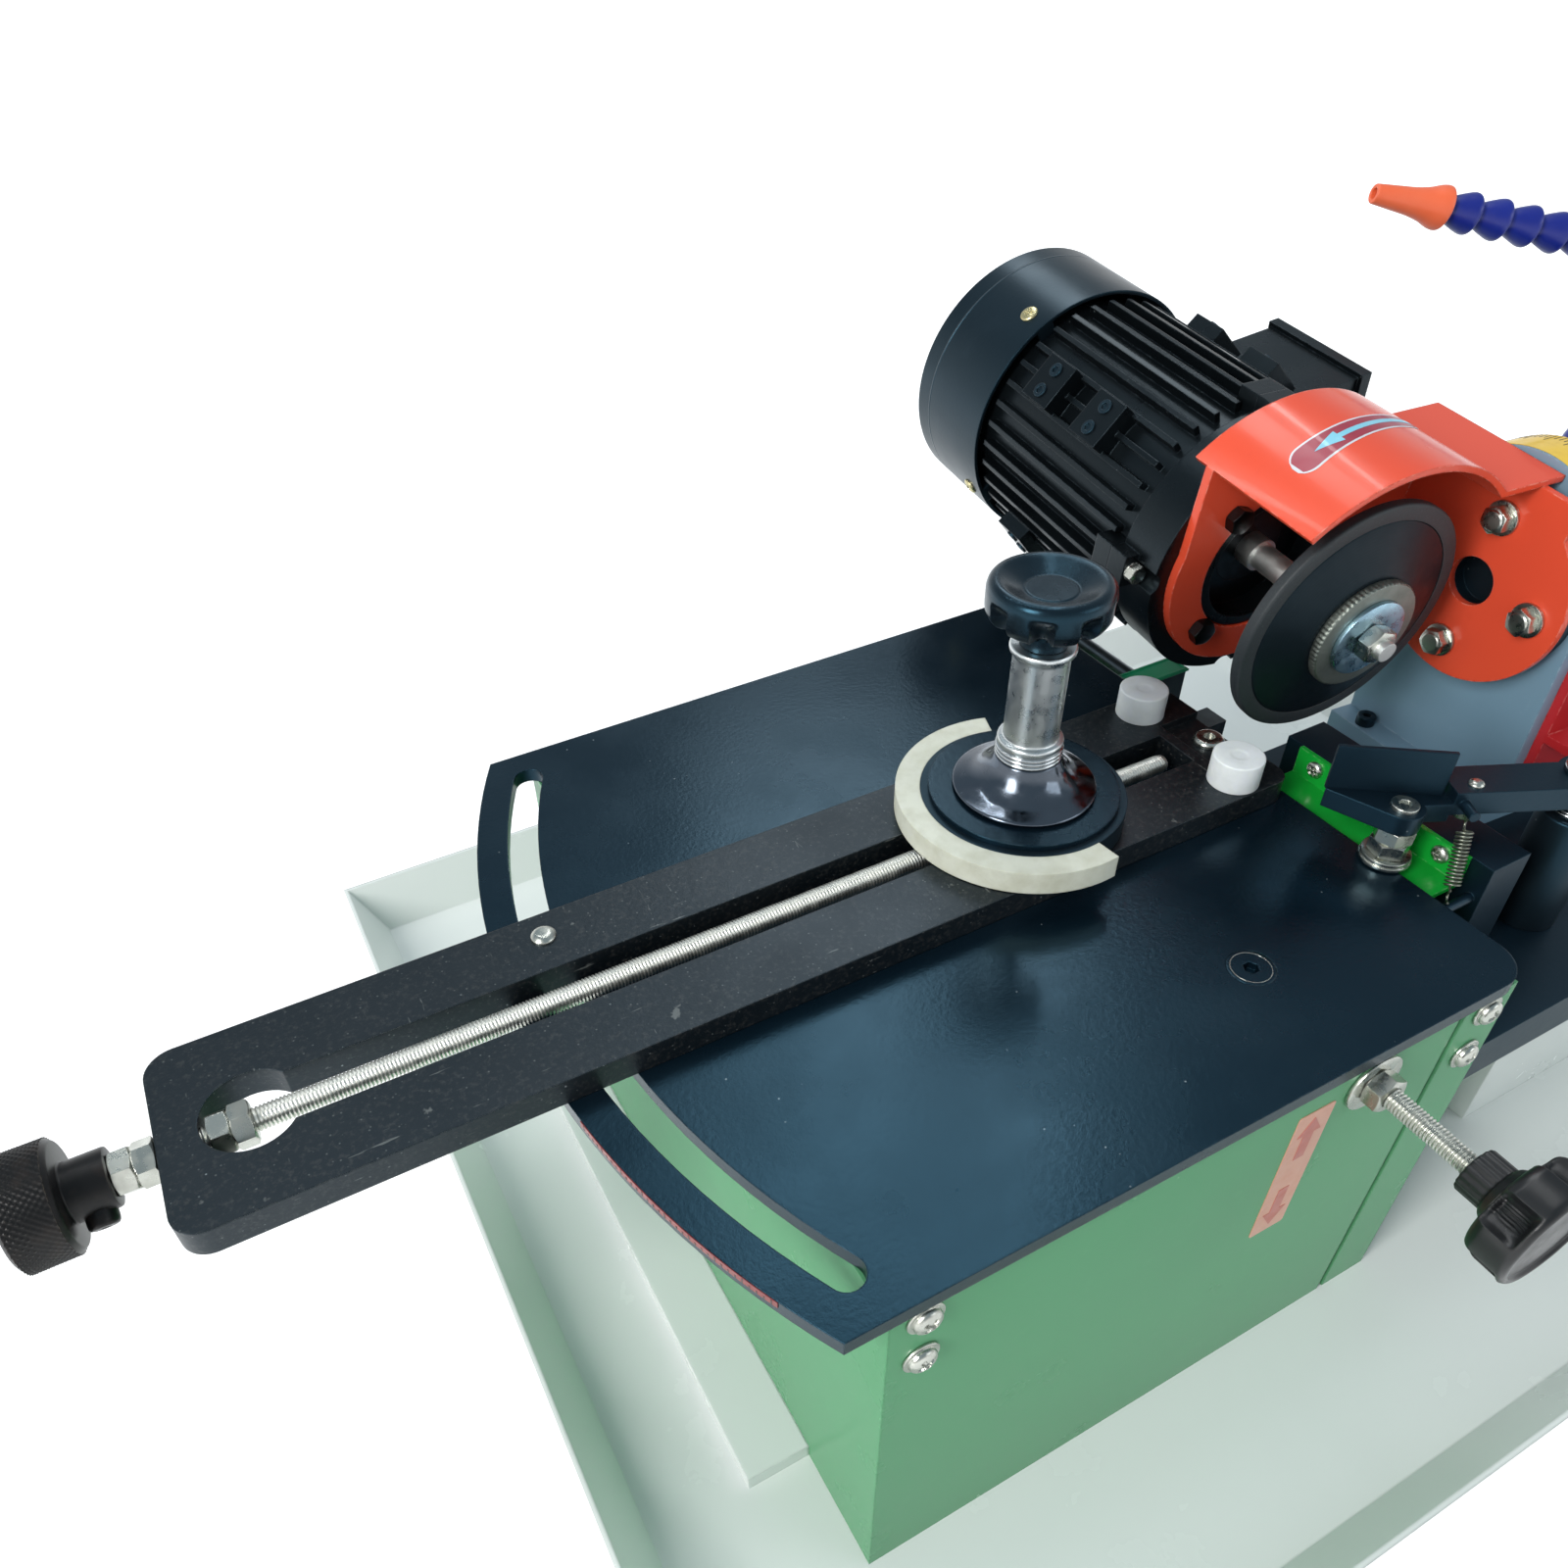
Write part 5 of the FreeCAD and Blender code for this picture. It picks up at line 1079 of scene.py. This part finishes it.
def build_tilt_scale():
    """Yellow tilt scale on the round top of the head's bracket"""
    crown, rise, near, wide = 42.05, 10, 79, 18.6
    first, last = 54, 126

    def bend(p, start, lift):
        angle = math.radians(start + p.y)
        r = crown + lift + p.z
        return SADDLE @ Vector((near + p.x, r * math.cos(angle), rise + r * math.sin(angle)))

    band = strip(wide, last - first, 0.2, 4, 40,
                 lambda p: bend(p + Vector((wide / 2, 0, 0)), (first + last) / 2, 0))
    piece("tilt_scale", band, SCALE_YELLOW, "saddle")
    ticks = []
    for angle, reach in tick_marks(first, last, count=25, margin=1.5, long=7.5, short=4.5):
        ticks.append(strip(reach, 0.55, 0.1, 1, 1, lambda p: bend(
            p + Vector((wide - reach / 2 - 0.6, 0, 0)), angle, 0.2)))
    piece("tilt_scale_ticks", joined(*ticks), SCALE_INK, "saddle")


def build_wheel():
    """Dish wheel with its grit rim, serrated hub ring, washer and nut"""
    front = HEAD @ AGAINST_Y
    rim = [(43.5, 2.05, 0.2), (49.2, 2.0, 0.6), (50, 1.2, 0.5), (50, -2.4, 0.5), (49.4, -3, 0.4),
           (43.5, -3, 0.2)]
    piece("wheel_grit_rim", spun(rim, front, 128, loop=True), GRIT, "spindle", ["grinding_wheel"])
    dish = [(5.6, 8, 0), (24, 8, 0.6), (34, 4.6, 6), (43.6, 1.9, 1), (43.6, -2.9, 0.3), (41, -2.9, 1),
            (30, 0.4, 6), (19, 2, 1), (5.6, 2, 0)]
    piece("wheel_dish", spun(dish, front, 128, 5, loop=True), DISH, "spindle", ["grinding_wheel"])

    teeth, tooth_depth = 72, 0.35

    def serrated(angle, radius, height):
        cut = tooth_depth if radius > 22.9 and (angle * teeth / TAU) % 1 < 0.5 else 0
        return radius - cut, height

    ring = [(5.6, 8), (22.4, 8), (23, 8.6), (23, 9.5), (23, 10.4), (23, 11.3), (22.4, 11.9), (22, 12),
            (5.6, 12)]
    hub = moved(lathe(ring, teeth * 4, serrated, loop=True), front)
    piece("wheel_hub_ring", hub, HUB_RING, "spindle", ["wheel_flanges"], sharp=40)
    back = spun([(5.6, -6, 0), (18, -6, 0.6), (18, 2, 0.6), (5.6, 2, 0)], front, 80, 2, loop=True)
    piece("wheel_inner_flange", back, BRIGHT_STEEL, "spindle", ["wheel_flanges"])
    plain = moved(washer(16, 2, 4.1), front @ up(12))
    piece("wheel_washer", plain, ZINC_BLUE, "spindle", ["wheel_nut"])
    nut = moved(hex_nut(NUT_FLATS, NUT_THICK, 3.95), front @ up(14) @ turn(12))
    piece("wheel_hex_nut", nut, ZINC, "spindle", ["wheel_nut"])


def build_head_screw():
    """Black socket screw on the foot of the head's bracket"""
    foot_top = -88.8
    screw = moved(socket_screw(4.2, 4.6, 3.4, 2), SADDLE @ shift(72, 27, foot_top))
    piece("bracket_foot_screw", screw, STEEL_BLACK, "saddle")


def build_handle():
    """Push handle: a straight rod with a ferrule and a black ball"""
    place = SADDLE @ shift(104.3, -57, 0)
    rod = [(0, -56.8, 0), (5, -56.8, 0.3), (5, 10, 0.3), (6.6, 11, 0.3), (6.6, 15.4, 0.5), (0, 16, 0)]
    piece("handle_rod", spun(rod, place, 48, 2), CHROME, "saddle", ["feed_handle"])
    radius, centre, low, rows = 14, 23.2, -62, 24
    ball = [(0, 10.4), (6.2, 10.4)]
    for k in range(rows):
        angle = math.radians(low + (90 - low) * k / rows)
        ball.append((radius * math.cos(angle), centre + radius * math.sin(angle)))
    ball.append((0, centre + radius))
    ball = moved(lathe(ball, 64), place)
    piece("handle_ball", ball, KNOB_BLACK, "saddle", ["feed_handle"])


# Coolant hose

HOSE_ROUTE = [(314, 70, 185), (314, 70, 262), (314, 70, 322), (281, 86.5, 331), (214, 119.6, 347.1)]


def route_points(corners):
    """Points along a smooth curve through the route"""
    curve = bpy.data.curves.new("hose_route", "CURVE")
    curve.dimensions = "3D"
    curve.resolution_u = 24
    spline = curve.splines.new("NURBS")
    spline.points.add(len(corners) - 1)
    for point, corner in zip(spline.points, corners):
        point.co = (*corner, 1)
    spline.order_u = 3
    spline.use_endpoint_u = True
    holder = bpy.data.objects.new("hose_route", curve)
    mesh = bpy.data.meshes.new_from_object(holder)
    points = [v.co.copy() for v in mesh.vertices]
    bpy.data.objects.remove(holder)
    bpy.data.curves.remove(curve)
    bpy.data.meshes.remove(mesh)
    return points


def stations(points, count):
    """Places at equal steps along the points, with the direction there"""
    travelled = [0.0]
    for a, b in zip(points, points[1:]):
        travelled.append(travelled[-1] + (b - a).length)
    found = []
    for k in range(count + 1):
        goal = travelled[-1] * k / count
        i = next((n for n in range(len(points) - 1) if travelled[n + 1] >= goal), len(points) - 2)
        share = (goal - travelled[i]) / (travelled[i + 1] - travelled[i])
        found.append((points[i].lerp(points[i + 1], share), (points[i + 1] - points[i]).normalized()))
    return found, travelled[-1] / count


def facing(place, along):
    """Matrix at a place with Z along a direction"""
    return Matrix.Translation(place) @ along.to_track_quat("Z", "Y").to_matrix().to_4x4()


def build_hose():
    """Jointed hose of flared links, its nozzle, and the fitting that it stands in"""
    links = 16
    places, step = stations(route_points(HOSE_ROUTE), links)
    one = [(3, 0.02, 0), (7.4, 0.1, 0.5), (8.8, 0.9, 0.7), (9, 2.4, 1.0), (8.6, 4.2, 1.5),
           (6.6, step * 0.66, 2.5), (5.2, step * 0.86, 1.2), (5.1, step * 1.04, 0.3), (3, step * 1.04, 0)]
    parts = []
    for (place, _), (after, _) in zip(places, places[1:]):
        parts.append(spun(one, facing(place, (after - place).normalized()), 40, 4, loop=True))
    piece("jointed_hose", joined(*parts), HOSE_BLUE, "hose", ["coolant_hose"], sharp=50)

    tip = [(2.2, 0, 0), (9.3, 0, 0.4), (9.5, 1.4, 0.8), (9.0, 4.2, 1.5), (7.2, 9, 3), (5.9, 16, 3),
           (5.2, 24, 2), (4.2, 34.6, 0.3), (3.9, 35, 0.2), (2.4, 35, 0.2), (2.2, 33, 0)]
    nozzle = spun(tip, facing(*places[-1]), 48, 4, loop=True)
    piece("spray_nozzle", nozzle, NOZZLE_ORANGE, "hose", ["hose_nozzle"], sharp=50)

    stem = [(0, 12, 0), (8.2, 12, 0.2), (8.2, 22.6, 0.4), (10.4, 23, 0.6), (11, 24, 0.6), (11, 33.6, 0.8),
            (9.6, 34.9, 0.4), (0, 34.9, 0)]
    base = shift(*HOSE_ROUTE[0][:2], BASE_TOP)
    fitting = joined(moved(hex_nut(24, 12), base), spun(stem, base, 56))
    piece("hose_hex_fitting", fitting, ZINC, "base", ["hose_fitting"])


# Stage

def build_floor():
    """Pale floor that looks white and keeps the shadow"""
    reach = 14
    corners = [(-reach, -reach, 0), (reach, -reach, 0), (reach, reach, 0), (-reach, reach, 0)]
    mesh = bpy.data.meshes.new("floor")
    mesh.from_pydata(corners, [], [(0, 1, 2, 3)])
    floor = put("floor", mesh)
    mesh.materials.append(floor_material())
    floor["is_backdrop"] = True


def floor_material():
    """Matt white near the object, where the shadow lies, and bright white further off"""
    material = bpy.data.materials.new("floor_pale")
    material.use_nodes = True
    tree = material.node_tree
    tree.nodes.remove(tree.nodes["Principled BSDF"])
    matt = add_node(tree, "BsdfDiffuse", Color=(0.8, 0.8, 0.8, 1))
    place = add_node(tree, "NewGeometry").outputs["Position"]
    reach = add_node(tree, "VectorMath", place, operation="LENGTH").outputs["Value"]
    level = add_node(tree, "MapRange", Value=reach, From_Min=0.5, From_Max=1.8, To_Min=0.4, To_Max=0.85)
    shown = add_node(tree, "Math", level.outputs["Result"], seen_directly(tree), operation="MULTIPLY")
    glow = add_node(tree, "Emission", Strength=shown.outputs[0])
    both = add_node(tree, "AddShader", matt.outputs[0], glow.outputs[0])
    feed(tree.nodes["Material Output"].inputs["Surface"], both.outputs[0])
    return material


def seen_directly(tree):
    """1 for what the camera, a mirror or glass shows, 0 for light on matt surfaces"""
    path = add_node(tree, "LightPath")
    total = path.outputs["Is Camera Ray"]
    for name in ("Is Glossy Ray", "Is Transmission Ray"):
        total = add_node(tree, "Math", total, path.outputs[name], operation="MAXIMUM").outputs[0]
    return total


def build_world():
    """White at the horizon, dim blue-grey overhead like a dark ceiling"""
    horizon, ceiling = (1, 1, 1, 1), (0.3, 0.37, 0.42, 1)
    world = bpy.data.worlds.new("studio")
    bpy.context.scene.world = world
    world.use_nodes = True
    tree = world.node_tree
    split = add_node(tree, "SeparateXYZ", add_node(tree, "TexCoord").outputs["Generated"])
    ramp = add_node(tree, "ValToRGB", split.outputs["Z"])
    stops = ramp.color_ramp.elements
    stops[0].position, stops[0].color = 0.12, horizon
    stops[1].position, stops[1].color = 0.5, ceiling
    back = tree.nodes["Background"]
    feed(back.inputs["Color"], ramp.outputs["Color"])
    back.inputs["Strength"].default_value = 1.0


def lamp(name, place, aim, size, power, colour=(1, 1, 1)):
    """Soft rectangular lamp of so many watts, turned to its aim"""
    data = bpy.data.lights.new(name, "AREA")
    data.shape = "RECTANGLE"
    data.size, data.size_y = size
    data.energy = power
    data.color = colour
    obj = put(name, data)
    obj.location = place
    obj.rotation_euler = (Vector(aim) - Vector(place)).to_track_quat("-Z", "Y").to_euler()


def build_lamps():
    """Three broad soft lamps, and two narrow ones that draw streaks on the metal"""
    lamp("key", (-2.2, -0.6, 1.6), (0, 0, 0.2), (0.8, 1.4), 58, (1.0, 0.98, 0.95))
    lamp("fill", (1.4, -1.8, 1.4), (0, 0, 0.2), (1.4, 1.0), 9, (0.95, 0.98, 1.0))
    lamp("back", (0.58, 1.3, 2.0), (-0.2, 0, 0.2), (0.5, 1.3), 8, (0.97, 0.99, 1.0))
    lamp("tube_left", (-0.3, 0.6, 2.0), (0.1, 0, 0.3), (0.06, 1.4), 4)
    lamp("tube_right", (0.6, 0.6, 2.0), (0.1, 0, 0.3), (0.06, 1.4), 4)


def build_camera():
    """Camera at the photo's angle"""
    data = bpy.data.cameras.new("camera")
    data.sensor_width = 36
    data.lens = 27.7425
    data.shift_x = 0.01822
    data.shift_y = 0.0409
    data.clip_end = 60
    obj = put("camera", data)
    right = Vector((0.88351, -0.46745, -0.03005))
    above = Vector((0.32707, 0.56972, 0.75395))
    back = Vector((-0.33531, -0.67595, 0.65625))
    view = Matrix((right, above, back)).transposed().to_4x4()
    obj.matrix_world = shift(-0.3501, -0.2775, 0.5) @ view
    bpy.context.scene.camera = obj


BUILDERS = (
    build_panel_screws, build_star, build_sign, build_arc_scale, build_screw_rim, build_bar_cover,
    build_arm_fasteners, build_feed_rod, build_clamp, build_stop, build_spring, build_guard_bolts,
    build_motor_screws, build_sticker, build_tilt_scale, build_wheel, build_head_screw, build_handle,
    build_hose, build_floor, build_world, build_lamps, build_camera,
)

dress_cad_nodes()
for build in BUILDERS:
    build()
bpy.context.scene.view_settings.view_transform = "Standard"
boxes = {"cad": cad_box, "visual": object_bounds()}
{name: [[float(v) for v in corner] for corner in box] for name, box in boxes.items()}
